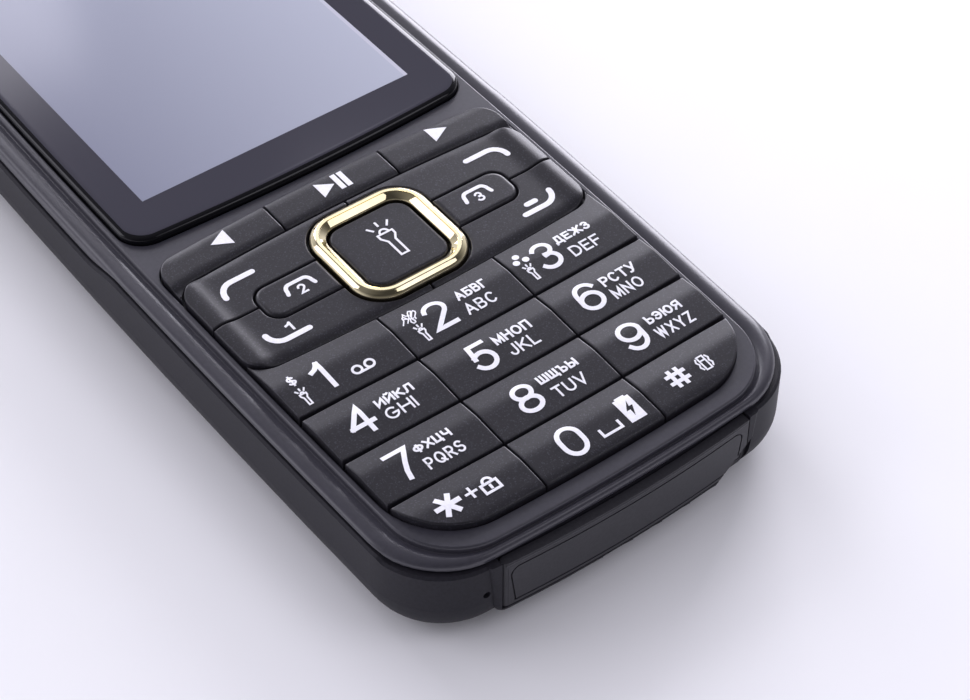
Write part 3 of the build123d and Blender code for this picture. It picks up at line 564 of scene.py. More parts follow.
def call_top(x, y):
    """Height of the call block: a flat middle, flanks that rise to a ridge, and edges that roll off."""
    flank = FLANK_SLOPE * bend(abs(x) - FLANK_AT, FLANK_SOFT)
    crest = CREST_SLOPE * bend(abs(x) - CREST_AT, CREST_SOFT)
    low = fall(y - BLOCK_LOW - end_dip(x), *CALL_FOOT)
    high = fall(BLOCK_HIGH - end_dip(x) - y, *CALL_HEAD)
    return KEY_PLANE + flank - crest - low - high


def tab_top(x, y):
    """Height of the two call tabs, a little proud of the block."""
    return KEY_PLANE + TAB_RISE


def centre_top(x, y):
    """Height of the centre key, faintly domed."""
    return KEY_PLANE + CENTRE_RISE - CENTRE_DOME * (x ** 2 + (y - BLOCK_MIDDLE) ** 2) / CENTRE_HALF ** 2


tops = {}
for row, names in enumerate((("key_1", "key_2", "key_3"), ("key_4", "key_5", "key_6"),
                             ("key_7", "key_8", "key_9"), ("key_star", "key_0", "key_hash"))):
    for name in names:
        tops[name] = (KEY_BASE, number_top(row), KEY_EDGE)
for name in ("media_key_left", "media_key_play", "media_key_right"):
    tops[name] = (KEY_BASE, media_top, KEY_EDGE)
for name in ("soft_key_left", "soft_key_right", "call_key_sim1", "end_key"):
    tops[name] = (KEY_BASE, call_top, KEY_EDGE)
for name in ("call_key_sim2", "call_key_sim3"):
    tops[name] = (KEY_BASE, tab_top, TAB_EDGE)
tops["centre_key"] = (CENTRE_BASE, centre_top, CENTRE_EDGE)
for name, (level, height, edge) in tops.items():
    key_cap(name, level, height, edge)


# Legends: digits, letter groups and small signs in white on the key caps.
# Each key's print is a thin film of ink that follows the curve of its cap and moves with it.
# Ink: flat opaque white, by far the brightest thing on the keys.
white_ink = mottled("white_pad_print_ink", "#eeeef4", "#f6f6fa", 0.4, 0.5)
INK_OVER, INK_UNDER, INK_LIFT, INK_STEP = 0.045, 0.03, 0.005, 0.5
ARC_STEP, LEAST_STEP, CLOSED_WITHIN, LEAST_MITRE = 15, 0.02, 0.01, 0.45
ROUND_TURNS = [math.radians(turn) for turn in (30, 55, 75, 86)]

# Signs by name: width for height, then strokes in a unit box, with points x,y and arcs x,y,rx,ry,from,to
SIGNS = {
    "0": (0.7, ".5,.62,.5,.38,0,180 .5,.38,.5,.38,180,360 1,.62"),
    "1": (0.4, "1,0 1,1|0,.74 .45,.8 .8,.92 .95,1"),
    "2": (0.7, ".5,.72,.5,.28,170,-35 0,0 1,0"),
    "3": (0.7, ".5,.75,.45,.25,155,-90|.5,.27,.5,.27,90,-155"),
    "4": (0.75, ".74,0 .74,1 0,.3|0,.3 1,.3"),
    "5": (0.7, ".95,1 .2,1 .1,.48|.48,.32,.52,.32,136,-155"),
    "6": (0.7, ".5,.31,.5,.31,0,360|.52,.62,.5,.38,30,180 0,.31"),
    "7": (0.7, "0,1 1,1 .62,.55 .42,.25 .34,0"),
    "8": (0.7, ".5,.75,.44,.25,0,360|.5,.26,.5,.26,0,360"),
    "9": (0.7, ".5,.69,.5,.31,0,360|.48,.38,.5,.38,210,360 1,.69"),
    "A": (0.95, "0,0 .5,1 1,0|.18,.33 .82,.33"),
    "B": (0.8, "0,0 0,1 .55,1 .55,.76,.37,.24,90,-90 0,.52|.5,.52 .6,.26,.4,.26,90,-90 0,0"),
    "C": (0.88, ".5,.5,.5,.5,45,315"),
    "D": (0.86, "0,0 0,1 .4,1 .4,.5,.6,.5,90,-90 0,0"),
    "E": (0.72, "1,1 0,1 0,0 1,0|0,.52 .85,.52"),
    "F": (0.7, "1,1 0,1 0,0|0,.5 .85,.5"),
    "G": (0.95, ".5,.5,.5,.5,50,350 1,.45 .55,.45"),
    "H": (0.85, "0,0 0,1|1,0 1,1|0,.52 1,.52"),
    "I": (0.0, "0,0 0,1"),
    "J": (0.6, "1,1 1,.3 .5,.3,.5,.3,0,-180"),
    "K": (0.85, "0,0 0,1|.95,1 0,.4|.3,.58 1,0"),
    "L": (0.65, "0,1 0,0 1,0"),
    "M": (1.0, "0,0 0,1 .5,.1 1,1 1,0"),
    "N": (0.85, "0,0 0,1 1,0 1,1"),
    "O": (1.0, ".5,.5,.5,.5,0,360"),
    "P": (0.75, "0,0 0,1 .55,1 .55,.73,.45,.27,90,-90 0,.46"),
    "Q": (1.0, ".5,.5,.5,.5,0,360|.6,.3 1,0"),
    "R": (0.8, "0,0 0,1 .55,1 .55,.73,.45,.27,90,-90 0,.46|.5,.46 1,0"),
    "S": (0.8, ".5,.76,.46,.24,30,270|.5,.26,.5,.26,90,-160"),
    "T": (0.8, "0,1 1,1|.5,1 .5,0"),
    "U": (0.85, "0,1 0,.35 .5,.35,.5,.35,180,360 1,1"),
    "V": (0.9, "0,1 .5,0 1,1"),
    "W": (1.25, "0,1 .25,0 .5,1 .75,0 1,1"),
    "X": (0.9, "0,0 1,1|0,1 1,0"),
    "Y": (0.9, "0,1 .5,.48 1,1|.5,.48 .5,0"),
    "Z": (0.85, "0,1 1,1 0,0 1,0"),
    "Б": (0.8, "1,1 0,1 0,0 .55,0 .55,.29,.45,.29,-90,90 0,.58"),
    "Г": (0.65, "0,0 0,1 1,1"),
    "Д": (0.95, "0,-.18 0,0 1,0 1,-.18|.15,0 .32,1 .85,1 .85,0"),
    "Ж": (1.25, ".5,0 .5,1|0,1 .5,.5 0,0|1,1 .5,.5 1,0"),
    "И": (0.85, "0,1 0,0 1,1 1,0"),
    "Й": (0.85, "0,1 0,0 1,1 1,0|.3,1.28 .5,1.18 .7,1.28"),
    "Л": (0.85, "0,0 .15,.1 .3,1 1,1 1,0"),
    "П": (0.85, "0,0 0,1 1,1 1,0"),
    "У": (0.85, "0,1 .52,.36|1,1 .45,.12 .3,0 .08,0"),
    "Ф": (1.1, ".5,0 .5,1|.5,.52,.5,.33,0,360"),
    "Ц": (0.9, "0,1 0,0 1,0 1,-.18|.85,1 .85,0"),
    "Ч": (0.8, "0,1 0,.6 .4,.6,.4,.2,180,270 1,.4|1,1 1,0"),
    "Ш": (1.15, "0,1 0,0 1,0 1,1|.5,0 .5,1"),
    "Щ": (1.2, "0,1 0,0 1.08,0 1.08,-.18|.47,0 .47,1|.94,0 .94,1"),
    "Ъ": (1.0, "0,1 .25,1 .25,0 .65,0 .65,.28,.35,.28,-90,90 .25,.56"),
    "Ы": (1.1, "0,1 0,0 .4,0 .4,.28,.3,.28,-90,90 0,.56|1,0 1,1"),
    "Ь": (0.75, "0,1 0,0 .55,0 .55,.28,.45,.28,-90,90 0,.56"),
    "Э": (0.85, ".45,.5,.55,.5,-140,140|.3,.52 1,.52"),
    "Ю": (1.25, "0,0 0,1|0,.5 .3,.5|.65,.5,.35,.5,0,360"),
    "Я": (0.8, "1,0 1,1 .45,1 .45,.73,.45,.27,90,270 1,.46|.45,.46 0,0"),
    "star": (1.0, "0,.5 1,.5|.24,0 .76,1|.24,1 .76,0"),
    "hash": (1.0, "0,.26 1,.26|0,.74 1,.74|.27,0 .27,1|.73,0 .73,1"),
    "plus": (1.0, "0,.5 1,.5|.5,0 .5,1"),
    "dollar": (0.6, ".5,.66,.46,.2,30,270|.5,.3,.5,.16,90,-160|.5,0 .5,1"),
    "voicemail": (2.0, ".2,.5,.2,.5,0,360|.8,.5,.2,.5,0,360|.2,0 .8,0"),
    "space": (2.3, "0,1 0,0 1,0 1,1"),
    "padlock": (1.0, "0,0 0,.62 1,.62 1,0 0,0|.22,.62 .22,.7 .5,.7,.28,.3,180,0 .78,.62|.5,.22 .5,.4"),
    "vibrate": (1.0, ".3,0 .3,1 .7,1 .7,0 .3,0|.42,.68 .58,.68|.14,.1 .04,.3 .14,.5 .04,.7 .14,.9"
                     "|.86,.1 .96,.3 .86,.5 .96,.7 .86,.9"),
    "mosquito": (1.2, "0,.22 .2,.5 .23,.72 .32,.8 .41,.97 .46,.76 .6,.68|.26,.6 .47,.45 .67,.36"
                      "|.34,.72 .4,.52|.49,.48 .64,.88 .74,1 .84,.93 .62,.55"
                      "|.6,.46 .86,.84 .95,.88 1,.75 .95,.62 .77,.41 .74,.25|.4,.4 .26,.22"
                      "|.5,.38 .42,.18 .48,.02 .6,.05 .62,.16 .58,.32"),
    "torch": (0.5, ".36,.43 .36,0 .69,0 .69,.43 .86,.56 .86,.67 .19,.67 .19,.56 .36,.43"
                   "|.525,.67,.19,.11,180,0|.525,.905 .525,1|.2,.83 .06,.93|.85,.83 1,.93"),
    "soft_left": (2.0, "1,1 .37,1 .37,0,.37,1,90,180"),
    "soft_right": (2.0, "0,1 .63,1 .63,0,.37,1,90,0"),
    "call": (2.0, "0,1 .37,1,.37,1,180,270 1,0"),
    "end": (2.0, "1,1 .63,1,.37,1,0,-90 0,0"),
    "handset": (2.0, "0,0 .24,.35,.2,.65,180,90 .76,.35,.2,.65,90,0 1,0"),
    "bar": (3.0, "0,0 1,0"),
}
SIGNS["З"] = SIGNS["3"]
# Signs whose strokes end round instead of square
ROUNDED = ("soft_left", "soft_right", "call", "end", "handset", "bar")
# Filled signs: closed outlines in a unit box, a later one cut out of the first
PLATES = {
    "to_left": "0,.5 1,0 1,1",
    "to_right": "1,.5 0,1 0,0",
    "block": "0,0 1,0 1,1 0,1",
    "dot": ".5,.5,.5,.5,0,345",
    "battery": "0,0 1,0 1,.93 .8,.93 .8,1 .2,1 .2,.93 0,.93|.46,.15 .78,.55 .56,.55 .68,.78 .24,.42 .48,.42",
}
# What each key carries: sign or letters, stroke, left and right, low and high from the call block's foot
PRINTS = {
    "media_key_left": (("to_left", 0, -16.73, -14.27, 19.9, 22.6),),
    "media_key_play": (("to_right", 0, -1.5, 0.67, 19.93, 22.6), ("block", 0, 0.93, 1.6, 19.93, 22.7),
                       ("block", 0, 1.85, 2.55, 19.93, 22.7)),
    "media_key_right": (("to_right", 0, 14.9, 17.4, 20.07, 22.77),),
    "soft_key_left": (("soft_left", 0.73, -20.43, -14.97, 12.4, 15.1),),
    "soft_key_right": (("soft_right", 0.73, 15.2, 20.77, 12.7, 15.35),),
    "call_key_sim1": (("call", 0.73, -20.2, -14.7, 2.97, 5.5), ("1", 0.3, -17.27, -16.4, 4.1, 5.5)),
    "end_key": (("end", 0.73, 15.2, 20.77, 2.87, 5.4), ("bar", 0.73, 16.4, 18.33, 4.2, 4.93)),
    "call_key_sim2": (("handset", 0.5, -14.42, -10.25, 8.6, 10.5), ("2", 0.27, -12.8, -11.8, 8.05, 9.6)),
    "call_key_sim3": (("handset", 0.5, 10.98, 15.1, 8.7, 10.65), ("3", 0.27, 12.55, 13.6, 8.15, 9.75)),
    "centre_key": (("torch", 0.27, -1.2, 2.1, 6.43, 12.83),),
    "key_1": (("1", 0.58, -19.37, -17.57, -6.15, -1.65), ("dollar", 0.24, -22.02, -21.02, -3.45, -1.7),
              ("torch", 0.2, -22.27, -20.87, -6.65, -3.95), ("voicemail", 0.3, -15.37, -12.32, -6.15, -4.75)),
    "key_2": (("2", 0.58, -4.07, -0.97, -6.25, -1.8), ("mosquito", 0.15, -6.78, -4.22, -3.66, -1.38),
              ("torch", 0.2, -6.17, -4.82, -6.65, -3.85), ("AБBГ", 0.27, 0.58, 4.83, -3.75, -2.3),
              ("ABC", 0.24, 0.33, 4.53, -6.18, -4.5)),
    "key_3": (("3", 0.58, 11.53, 14.58, -6.1, -1.55), ("dot", 0, 9.63, 10.49, -2.35, -1.49),
              ("dot", 0, 9.07, 9.93, -3.28, -2.42), ("dot", 0, 10.33, 11.19, -3.38, -2.52),
              ("torch", 0.2, 9.48, 10.83, -6.32, -3.6), ("ДEЖЗ", 0.27, 15.16, 20.23, -3.25, -1.9),
              ("DEF", 0.24, 15.73, 19.88, -6, -4.32)),
    "key_4": (("4", 0.58, -20.47, -17.17, -14, -9.65), ("ИЙKЛ", 0.27, -16.17, -11.32, -11.7, -10.45),
              ("GHI", 0.24, -16.12, -12.22, -13.85, -12.18)),
    "key_5": (("5", 0.58, -3.97, -0.92, -14.35, -9.95), ("MHOП", 0.27, -0.17, 4.83, -11.92, -10.45),
              ("JKL", 0.24, 0.43, 4.33, -14.25, -12.55)),
    "key_6": (("6", 0.58, 11.23, 14.43, -14.25, -9.75), ("PCTУ", 0.27, 15.23, 20.18, -12, -10.45),
              ("MNO", 0.24, 15.23, 19.43, -14.25, -12.6)),
    "key_7": (("7", 0.58, -20.22, -17.12, -22, -17.55), ("ФXЦЧ", 0.27, -16.77, -11.97, -19.55, -18.3),
              ("PQRS", 0.24, -16.77, -11.87, -22.1, -20.45)),
    "key_8": (("8", 0.58, -3.92, -0.82, -22.35, -17.95), ("ШЩЪЫ", 0.27, 0.03, 5.38, -19.6, -18.3),
              ("TUV", 0.24, 0.48, 4.83, -22.25, -20.55)),
    "key_9": (("9", 0.58, 11.23, 14.43, -22.1, -17.65), ("ЬЭЮЯ", 0.27, 15.43, 20.33, -19.65, -18.3),
              ("WXYZ", 0.24, 15.23, 20.33, -22.1, -20.45)),
    "key_star": (("star", 0.62, -19.92, -16.67, -28.6, -25.75), ("plus", 0.3, -16.12, -14.57, -28.1, -26.5),
                 ("padlock", 0.32, -14.24, -11.97, -28.6, -26.4)),
    "key_0": (("0", 0.58, -3.92, -0.72, -30.2, -25.75), ("space", 0.32, 0.76, 3.58, -29.75, -28.5),
              ("battery", 0, 4.56, 6.68, -29.85, -26.05)),
    "key_hash": (("hash", 0.5, 11.43, 14.13, -29.05, -26.3), ("vibrate", 0.2, 15.53, 17.58, -28.85, -26.65)),
}


def trace(text, stroke, left, right, low, high):
    """Lines of a sign, set in its box so that their ink just fills it."""
    lines = []
    for part in text.split("|"):
        line = []
        for item in part.split():
            x, y, *arc = (float(number) for number in item.split(","))
            rx, ry, start, end = arc or (0, 0, 0, 0)
            steps = round(abs(end - start) / ARC_STEP)
            turns = [math.radians(start + (end - start) * step / max(steps, 1)) for step in range(steps + 1)]
            line += [Vector((x + rx * math.cos(turn), y + ry * math.sin(turn))) for turn in turns]
        line = [Vector((left + stroke / 2 + p.x * (right - left - stroke),
                        low + stroke / 2 + p.y * (high - low - stroke))) for p in line]
        lines.append(line[:1] + [p for before, p in zip(line, line[1:]) if (p - before).length > LEAST_STEP])
    return lines


def ribbon(work, line, width, height, lift, rounded):
    """A closed film of ink along a line, on a height function, lifted over the strokes that it crosses."""
    ring = (line[0] - line[-1]).length < CLOSED_WITHIN
    if ring:
        line = line[:-1]
    elif not rounded:
        first, last = (line[0] - line[1]).normalized(), (line[-1] - line[-2]).normalized()
        line = [line[0] + first * width / 2, *line[1:-1], line[-1] + last * width / 2]
    points = []
    for place, near in enumerate(line):
        points.append(near)
        if ring or place + 1 < len(line):
            far = line[(place + 1) % len(line)]
            length = (far - near).length
            count = math.ceil(length / INK_STEP)
            points += [near.lerp(far, step / count) for step in range(1, count)
                       if width < length * step / count < length - width]
    paths = []
    for place, here in enumerate(points):
        before = points[place - 1] if ring or place else here * 2 - points[1]
        open_end = not ring and place + 1 == len(points)
        after = here * 2 - points[-2] if open_end else points[(place + 1) % len(points)]
        first, second = (here - before).normalized(), (after - here).normalized()
        side = Vector((-first.y - second.y, first.x + second.x)).normalized()
        paths.append((here, side * width / 2 / max(side.dot(Vector((-first.y, first.x))), LEAST_MITRE)))
    if rounded:
        (start, first), (end, last) = paths[0], paths[-1]
        for angle in ROUND_TURNS:
            paths.insert(0, (start + Vector((-first.y, first.x)) * math.sin(angle), first * math.cos(angle)))
            paths.append((end + Vector((last.y, -last.x)) * math.sin(angle), last * math.cos(angle)))
    sections = []
    for here, side in paths:
        path = [here - side, here, here + side]
        over = raised(path, lambda x, y: height(x, y) + INK_OVER + lift)
        under = raised(path[::-1], lambda x, y: height(x, y) - INK_UNDER)
        sections.append([work.verts.new(point) for point in over + under])
    for near, far in zip(sections, sections[1:] + sections[:1] if ring else sections[1:]):
        for place in range(6):
            after = (place + 1) % 6
            work.faces.new((near[place], near[after], far[after], far[place]))
    if not ring:
        work.faces.new(sections[0])
        work.faces.new(sections[-1])


def plate(work, loops, height):
    """A closed film of ink that fills the first loop apart from the later ones, on a height function."""
    loops = [spread(loop, INK_STEP) for loop in loops]
    xs, ys = [p.x for p in loops[0]], [p.y for p in loops[0]]
    free = [(x * INK_STEP, y * INK_STEP) for x in range(int(min(xs) / INK_STEP), int(max(xs) / INK_STEP) + 1)
            for y in range(int(min(ys) / INK_STEP) - 1, int(max(ys) / INK_STEP) + 1)]
    over, under = [], []
    for loop in loops:
        low, high = weave(work, [raised(loop, lambda x, y: height(x, y) - INK_UNDER),
                                 raised(loop, lambda x, y: height(x, y) + INK_OVER)])
        under.append(low)
        over.append(high)
    cap(work, over, free, lambda x, y: height(x, y) + INK_OVER)
    cap(work, under, free, lambda x, y: height(x, y) - INK_UNDER)


# Space between letters, by their stroke
LETTER_GAP = {0.27: 0.15, 0.24: 0.26}


def letter_boxes(text, stroke, left, right, low, high):
    """The letters of a word with their boxes, spread so that the word fills its own box."""
    widths = [SIGNS[letter][0] * (high - low - stroke) for letter in text]
    gap = LETTER_GAP[stroke]
    stretch = (right - left - gap * (len(text) - 1) - stroke * len(text)) / sum(widths)
    for letter, width in zip(text, widths):
        yield letter, left, left + width * stretch + stroke
        left += width * stretch + stroke + gap


for node, signs in PRINTS.items():
    surface = tops[node][1]
    work = bmesh.new()
    for name, stroke, left, right, low, high in signs:
        low, high = low + BLOCK_LOW, high + BLOCK_LOW
        if name in PLATES:
            plate(work, trace(PLATES[name], 0, left, right, low, high), surface)
        else:
            marks = [(name, left, right)]
            if name not in SIGNS:
                marks = letter_boxes(name, stroke, left, right, low, high)
            for mark, start, end in marks:
                for order, line in enumerate(trace(SIGNS[mark][1], stroke, start, end, low, high)):
                    ribbon(work, line, stroke, surface, INK_LIFT * order, mark in ROUNDED)
    settle(work, "print_" + node, white_ink, frame["nodes"][node]["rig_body"])


# Navigation ring: a rounded square ring of moulded plastic with a pale gold electroplate.
# It clips to the rocking plate under it and tilts four ways about the middle.
# Electroplate: near-mirror pale gold, whose bands of light and dark follow the ring's section.
gold_plate = mottled("pale_gold_electroplate", "#eaddb0", "#f3e8c2", 3.0, 0.07, metallic=1.0)
RING_HALF, RING_CORNER, RING_WIDTH, RING_BASE = 7.95, 4.5, 2.1, 12.4
# The ring's section as depth and height: its base, the outer wall, a round shoulder, a facet, the flat crest,
# a fine groove and the bevel to the centre key; close pairs of points keep the facet and the crest flat
RING_SECTION = (
    (RING_WIDTH, RING_BASE), (0, RING_BASE), (0, 13.3),
    (0.02, 13.5), (0.08, 13.7), (0.17, 13.87), (0.27, 13.99), (0.34, 14.058),
    (0.37, 14.08), (0.39, 14.095), (0.6, 14.253), (0.62, 14.268), (0.69, 14.31), (0.75, 14.338),
    (0.78, 14.35), (0.81, 14.35), (1.15, 14.35), (1.18, 14.35), (1.2, 14.24), (1.25, 14.24),
    (1.28, 14.3), (1.31, 14.28), (1.93, 13.85), (1.98, 13.8), (2.06, 13.68), (RING_WIDTH, 13.5))


def ring_loop(depth):
    """The ring's outline, moved inward by a depth in millimetres."""
    half, r = RING_HALF - depth, RING_CORNER - depth
    loop = []
    for x, y, turn in ((1, -1, -90), (1, 1, 0), (-1, 1, 90), (-1, -1, 180)):
        for step in range(CORNER_STEPS + 1):
            angle = math.radians(turn + 90 * step / CORNER_STEPS)
            loop.append(Vector((x * (half - r) + r * math.cos(angle),
                                BLOCK_MIDDLE + y * (half - r) + r * math.sin(angle))))
    return loop


work = bmesh.new()
made = weave(work, [raised(ring_loop(depth), height) for depth, height in RING_SECTION])
for place in range(len(made[0])):
    after = (place + 1) % len(made[0])
    work.faces.new((made[-1][place], made[-1][after], made[0][after], made[0][place]))
CLIP_OUT, CLIP_HALF, CLIP_LOW = 7.2, 0.6, 10.55
for x, y in ((CLIP_OUT, 0), (-CLIP_OUT, 0), (0, CLIP_OUT), (0, -CLIP_OUT)):
    brick(work, (x - CLIP_HALF, BLOCK_MIDDLE + y - CLIP_HALF, CLIP_LOW),
          (x + CLIP_HALF, BLOCK_MIDDLE + y + CLIP_HALF, RING_BASE + SINK))
stand_for(work, "nav_ring", gold_plate)


# Dust flap: a soft rubber cover with plugs that close the charging and headset sockets.
# It is moulded in one piece with its strap, which pins to the tray at its left end.
# Rubber: a charcoal between those of the two shells, dull, with a grain drawn coarse enough to show.
flap_rubber = mottled("moulded_rubber", "#29282e", "#302f35", 0.3, 0.5, depth=0.006)
paint("dust_flap", flap_rubber)
# A rounded lip along the flap's upper edge, which catches the light
FLAP_BOW, FLAP_APEX, LIP_HALF, LIP_HEIGHT, LIP_RADIUS, LIP_PROUD = 176.0, -66.5, 16.7, 10.43, 0.32, 0.06
LIP_SIDES, LIP_STEPS = 12, 24
work = bmesh.new()
rings = []
for step in range(LIP_STEPS + 1):
    x = LIP_HALF * (2 * step / LIP_STEPS - 1)
    y = FLAP_APEX + LIP_RADIUS - LIP_PROUD + FLAP_BOW - math.sqrt(FLAP_BOW ** 2 - x * x)
    turns = [math.radians(360 * side / LIP_SIDES) for side in range(LIP_SIDES)]
    rings.append([Vector((x, y + LIP_RADIUS * math.cos(turn), LIP_HEIGHT + LIP_RADIUS * math.sin(turn))) * MM
                  for turn in turns])
lip = weave(work, rings)
work.faces.new(lip[0])
work.faces.new(lip[-1])
settle(work, "flap_lip", flap_rubber, frame["nodes"]["dust_flap"]["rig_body"])


# Earpiece: a capsule behind the slot in the lens, with foam tape round it and a wire mesh in the slot.
# Black nylon, acrylic foam and woven steel; the tape also holds the lens in its pocket.
# Nylon: plain matt black. Tape: dull dark grey. Mesh: thin bright wires, wider apart than real ones to show.
black_nylon = mottled("black_moulded_nylon", "#18181a", "#1f1f22", 0.4, 0.5)
foam_tape = mottled("acrylic_foam_tape", "#1b1b1d", "#232326", 0.2, 0.8)
mesh_wire = mottled("woven_steel_wire", "#8d8d8f", "#a3a3a4", 0.3, 0.3, metallic=1.0)
paint("lens_tape", foam_tape)
paint("earpiece", black_nylon)
MESH_PITCH, WIRE_RADIUS, WIRE_SIDES, QUARTER = 0.34, 0.06, 8, math.pi / 2


def wire_row(tree, group, count, step, length, turn):
    """Geometry of parallel wires: a line of points, each with a thin rod laid along its turn."""
    wire = add(tree, "GeometryNodeMeshCylinder", {"Vertices": WIRE_SIDES, "Depth": length,
                                                  "Radius": group.outputs["Wire radius"]})
    start = [-(count - 1) / 2 * part for part in step]
    line = add(tree, "GeometryNodeMeshLine", {"Count": count, "Start Location": start, "Offset": step})
    laid = add(tree, "GeometryNodeInstanceOnPoints", {"Points": line.outputs["Mesh"],
                                                      "Instance": wire.outputs["Mesh"], "Rotation": turn})
    return laid.outputs["Instances"]


low, high = (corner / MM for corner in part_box("earpiece_mesh"))
weaver = bpy.data.node_groups.new("woven_mesh", "GeometryNodeTree")
weaver.interface.new_socket("Wire radius", in_out="INPUT", socket_type="NodeSocketFloat")
weaver.interface.new_socket("Wire", in_out="INPUT", socket_type="NodeSocketMaterial")
weaver.interface.new_socket("Geometry", in_out="OUTPUT", socket_type="NodeSocketGeometry")
group = add(weaver, "NodeGroupInput")
wide, deep = high.x - low.x, high.y - low.y
rows = [wire_row(weaver, group, int(wide / MESH_PITCH), (MESH_PITCH * MM, 0, 0), deep * MM, (QUARTER, 0, 0)),
        wire_row(weaver, group, int(deep / MESH_PITCH), (0, MESH_PITCH * MM, 0), wide * MM, (0, QUARTER, 0))]
both_rows = add(weaver, "GeometryNodeJoinGeometry")
for row in rows:
    weaver.links.new(row, both_rows.inputs["Geometry"])
solid_wires = add(weaver, "GeometryNodeRealizeInstances", {"Geometry": both_rows.outputs["Geometry"]})
painted = add(weaver, "GeometryNodeSetMaterial", {"Geometry": solid_wires.outputs["Geometry"],
                                                  "Material": group.outputs["Wire"]})
add(weaver, "NodeGroupOutput", {"Geometry": painted.outputs["Geometry"]})
loom = bpy.data.objects.new("loom", bpy.data.meshes.new("loom"))
bpy.context.collection.objects.link(loom)
weave_step = loom.modifiers.new("woven_mesh", "NODES")
weave_step.node_group = weaver
sockets = {item.name: item.identifier for item in weaver.interface.items_tree if item.in_out == "INPUT"}
weave_step[sockets["Wire radius"]] = WIRE_RADIUS * MM
weave_step[sockets["Wire"]] = mesh_wire
bpy.context.view_layer.update()
mesh = bpy.data.meshes.new_from_object(loom.evaluated_get(bpy.context.evaluated_depsgraph_get()))
bpy.data.objects.remove(loom)
middle = (low + high) / 2 * MM
mesh.transform(Matrix.Translation(middle))
mesh.name = "earpiece_veil"
veil = bpy.data.objects.new("earpiece_veil", mesh)
bpy.context.collection.objects.link(veil)
solid = frame["nodes"]["earpiece_mesh"]
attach(veil, solid["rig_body"])
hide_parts("earpiece_mesh")


# Keypad works: a rocking plate under the ring, a silicone mat under the plungers, metal domes on the board.
# The mat lies loose between the shells; the domes are stuck to the board and snap under a press.
# Silicone: milky grey and soft. Spring steel: bright, finely brushed.
milky_silicone = mottled("milky_silicone", "#8d8d90", "#9a9a9d", 2.0, 0.55)
spring_steel = mottled("brushed_spring_steel", "#b4b4b2", "#c6c6c4", 0.3, 0.28, metallic=1.0)
paint("nav_rocker", black_nylon)
paint("keypad_mat", milky_silicone)
paint("key_domes", spring_steel)


# Main board: the laminate that carries shield cans, sockets and the microphone.
# It lies on ribs of the tray under small screws; the cans are soldered on.
# Solder mask: even dark green. Tinned steel: pale dull metal.
solder_mask = mottled("solder_masked_laminate", "#183b28", "#1d4630", 1.5, 0.35)
tinned_steel = mottled("tinned_sheet_steel", "#aeb0ae", "#bfc1bf", 1.2, 0.38, metallic=1.0)
paint("main_board", solder_mask)
for node in ("board_screws", "housing_screws", "shield_cans", "usb_socket", "microphone", "memory_card_slot"):
    paint(node, tinned_steel)
paint("headset_jack", black_nylon)


# Battery bay: a wrapped flat cell, its spring contacts and three card holders beside it.
# The cell drops into the tray under the cover; the contacts and the holders are soldered to the board.
# Wrap: plain satin grey film without a label. Gold: thin warm plating.
battery_film = mottled("grey_battery_film", "#77777a", "#7f7f82", 6.0, 0.4)
contact_gold = mottled("gold_plated_spring", "#c9a95c", "#d8b96c", 0.5, 0.25, metallic=1.0)
paint("battery", battery_film)
paint("battery_contacts", contact_gold)
paint("sim_holders", tinned_steel)


# Upper bay: camera, loudspeaker, vibration motor and antenna, with the torch in the top end.
# Each sits in its own well of the tray; the camera looks through a window in the back.
# Acrylic: clear, with sharp gloss. Phosphor: flat yellow. Tungsten: dark dull metal.
clear_acrylic = mottled("clear_acrylic", "#dfe3e8", "#e6eaee", 3.0, 0.06, ior=1.49)
clear_acrylic.node_tree.nodes["Principled BSDF"].inputs["Transmission Weight"].default_value = 0.9
led_phosphor = mottled("light_diode_phosphor", "#e2d069", "#ead97a", 0.4, 0.5)
sintered_tungsten = mottled("sintered_tungsten", "#5f5f60", "#6b6b6c", 0.3, 0.5, metallic=1.0)
for node in ("camera_module", "loudspeaker"):
    paint(node, black_nylon)
for node in ("camera_window", "torch_lens"):
    paint(node, clear_acrylic)
paint("vibration_motor", tinned_steel)
paint("vibration_weight", sintered_tungsten)
paint("antenna", contact_gold)
paint("torch_led", led_phosphor)


# Battery cover: a panel that takes the tray's own underside and slides in two rails of the tray.
# Grained ABS as the tray, with a thumb groove.
paint("battery_cover", grained_abs)


# Floor: a wide sheet of matt white card under the phone.
# Card: even white without gloss, which takes the soft shadow and the lamps' faint violet.
floor_card = mottled("matt_white_card", "#f5f5f6", "#f8f8f9", 60.0, 0.9, ior=1.3)
FLOOR_REACH = 2.0
mesh = bpy.data.meshes.new("floor")
mesh.from_pydata([(x * FLOOR_REACH, y * FLOOR_REACH, 0) for x, y in ((-1, -1), (1, -1), (1, 1), (-1, 1))], [],
                 [(0, 1, 2, 3)])
mesh.materials.append(floor_card)
floor = bpy.data.objects.new("floor", mesh)
bpy.context.collection.objects.link(floor)


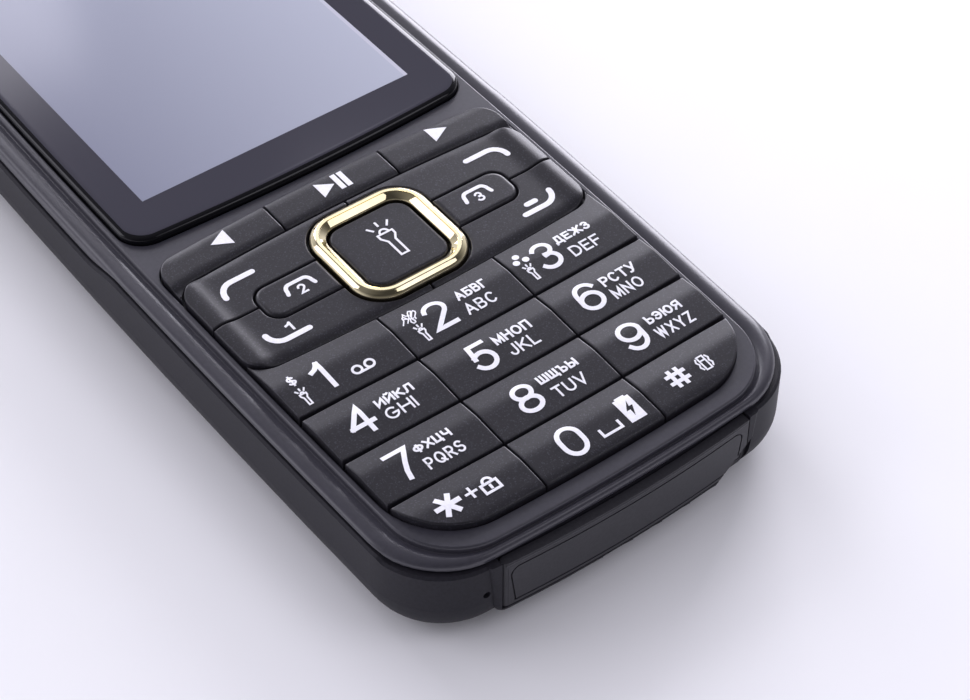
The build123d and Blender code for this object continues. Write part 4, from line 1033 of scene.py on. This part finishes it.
# Light: a white room, dark at the near side, which mirrors see as bright low down and dark overhead.
# A low softbox at the far right draws the rim, one behind lights the keys' upper faces, two at the far left
# and the near right light the ring's facets, and a small card overhead lies in the mirror of its flat crest.
ROOM_LEVEL, ROOM_SHADE, ROOM_LOW, ROOM_HIGH, ROOM_TURN = 0.8, 0.62, 1.0, 0.22, 0.62
ROOM_FRONT, DUSK_FROM, DUSK_TO = 0.25, -0.45, 0.2
LAMP_TINT = "#f5f3ff"
world = bpy.data.worlds.new("studio")
bpy.context.scene.world = world
world.use_nodes = True
tree = world.node_tree
place = add(tree, "ShaderNodeTexCoord")
axes = add(tree, "ShaderNodeSeparateXYZ", {"Vector": place.outputs["Generated"]})
fade = add(tree, "ShaderNodeMapRange", {"Value": axes.outputs["Z"], "From Min": 0.0, "From Max": ROOM_TURN,
                                        "To Min": ROOM_LOW, "To Max": ROOM_HIGH})
front = add(tree, "ShaderNodeMapRange", {"Value": axes.outputs["Y"], "From Min": DUSK_FROM,
                                         "From Max": DUSK_TO, "To Min": ROOM_FRONT, "To Max": 1.0})
path = add(tree, "ShaderNodeLightPath")
level = add(tree, "ShaderNodeMix", {"Factor": path.outputs["Is Glossy Ray"], "A": ROOM_LEVEL,
                                    "B": fade.outputs["Result"]})
least = add(tree, "ShaderNodeMix", {"Factor": path.outputs["Is Glossy Ray"], "A": ROOM_SHADE,
                                    "B": ROOM_FRONT})
shade = add(tree, "ShaderNodeMath", {0: front.outputs["Result"], 1: least.outputs["Result"]},
            operation="MAXIMUM")
seen = add(tree, "ShaderNodeMath", {0: level.outputs["Result"], 1: shade.outputs["Value"]},
           operation="MULTIPLY")
sky = tree.nodes["Background"]
sky.inputs["Color"].default_value = linear(LAMP_TINT)
tree.links.new(seen.outputs["Value"], sky.inputs["Strength"])


def softbox(name, place, aim, size, power):
    """A square lamp of that size and power at a place, turned to its aim, all in metres and watts."""
    lamp = bpy.data.lights.new(name, "AREA")
    lamp.size = size
    lamp.energy = power
    lamp.color = linear(LAMP_TINT)[:3]
    stand = bpy.data.objects.new(name, lamp)
    stand.location = place
    stand.rotation_euler = (Vector(aim) - Vector(place)).to_track_quat("-Z", "Y").to_euler()
    bpy.context.collection.objects.link(stand)


PHONE_MIDDLE, RING_MIDDLE = (0, -0.02, 0), (0, BLOCK_MIDDLE * MM, 0.0143)
softbox("softbox_right", (0.62, 0.48, 0.26), PHONE_MIDDLE, 0.42, 5.6)
softbox("softbox_back", (0.1, 0.9, 0.45), PHONE_MIDDLE, 0.5, 4.0)
softbox("softbox_left", (-0.62, 0.55, 0.52), PHONE_MIDDLE, 0.5, 1.6)
softbox("softbox_near", (0.42, -0.5, 0.76), PHONE_MIDDLE, 0.42, 0.9)
softbox("card_over_ring", (0.323, 0.458, 0.567), RING_MIDDLE, 0.075, 0.024)


# Camera: above the near left corner, looking along the phone, with its far end out of the picture.
# A long lens, given by its focal length in pixels of a picture of that width.
AIM = Vector((-1.45, -41.84, 13.6)) * MM
DISTANCE = 272.87 * MM
AZIMUTH, ELEVATION, ROLL = (math.radians(angle) for angle in (-37.11, 46.39, 0.04))
IMAGE_WIDTH, FOCAL_PIXELS = 970, 2450
back = Vector((math.sin(AZIMUTH) * math.cos(ELEVATION), -math.cos(AZIMUTH) * math.cos(ELEVATION),
               math.sin(ELEVATION)))
eye = bpy.data.cameras.new("camera")
eye.sensor_width = 36.0
eye.lens = eye.sensor_width * FOCAL_PIXELS / IMAGE_WIDTH
eye.clip_start = 0.01
camera = bpy.data.objects.new("camera", eye)
camera.location = AIM + back * DISTANCE
camera.rotation_mode = "QUATERNION"
camera.rotation_quaternion = (-back).to_track_quat("-Z", "Y") @ Matrix.Rotation(ROLL, 3, "Z").to_quaternion()
bpy.context.collection.objects.link(camera)
bpy.context.scene.camera = camera
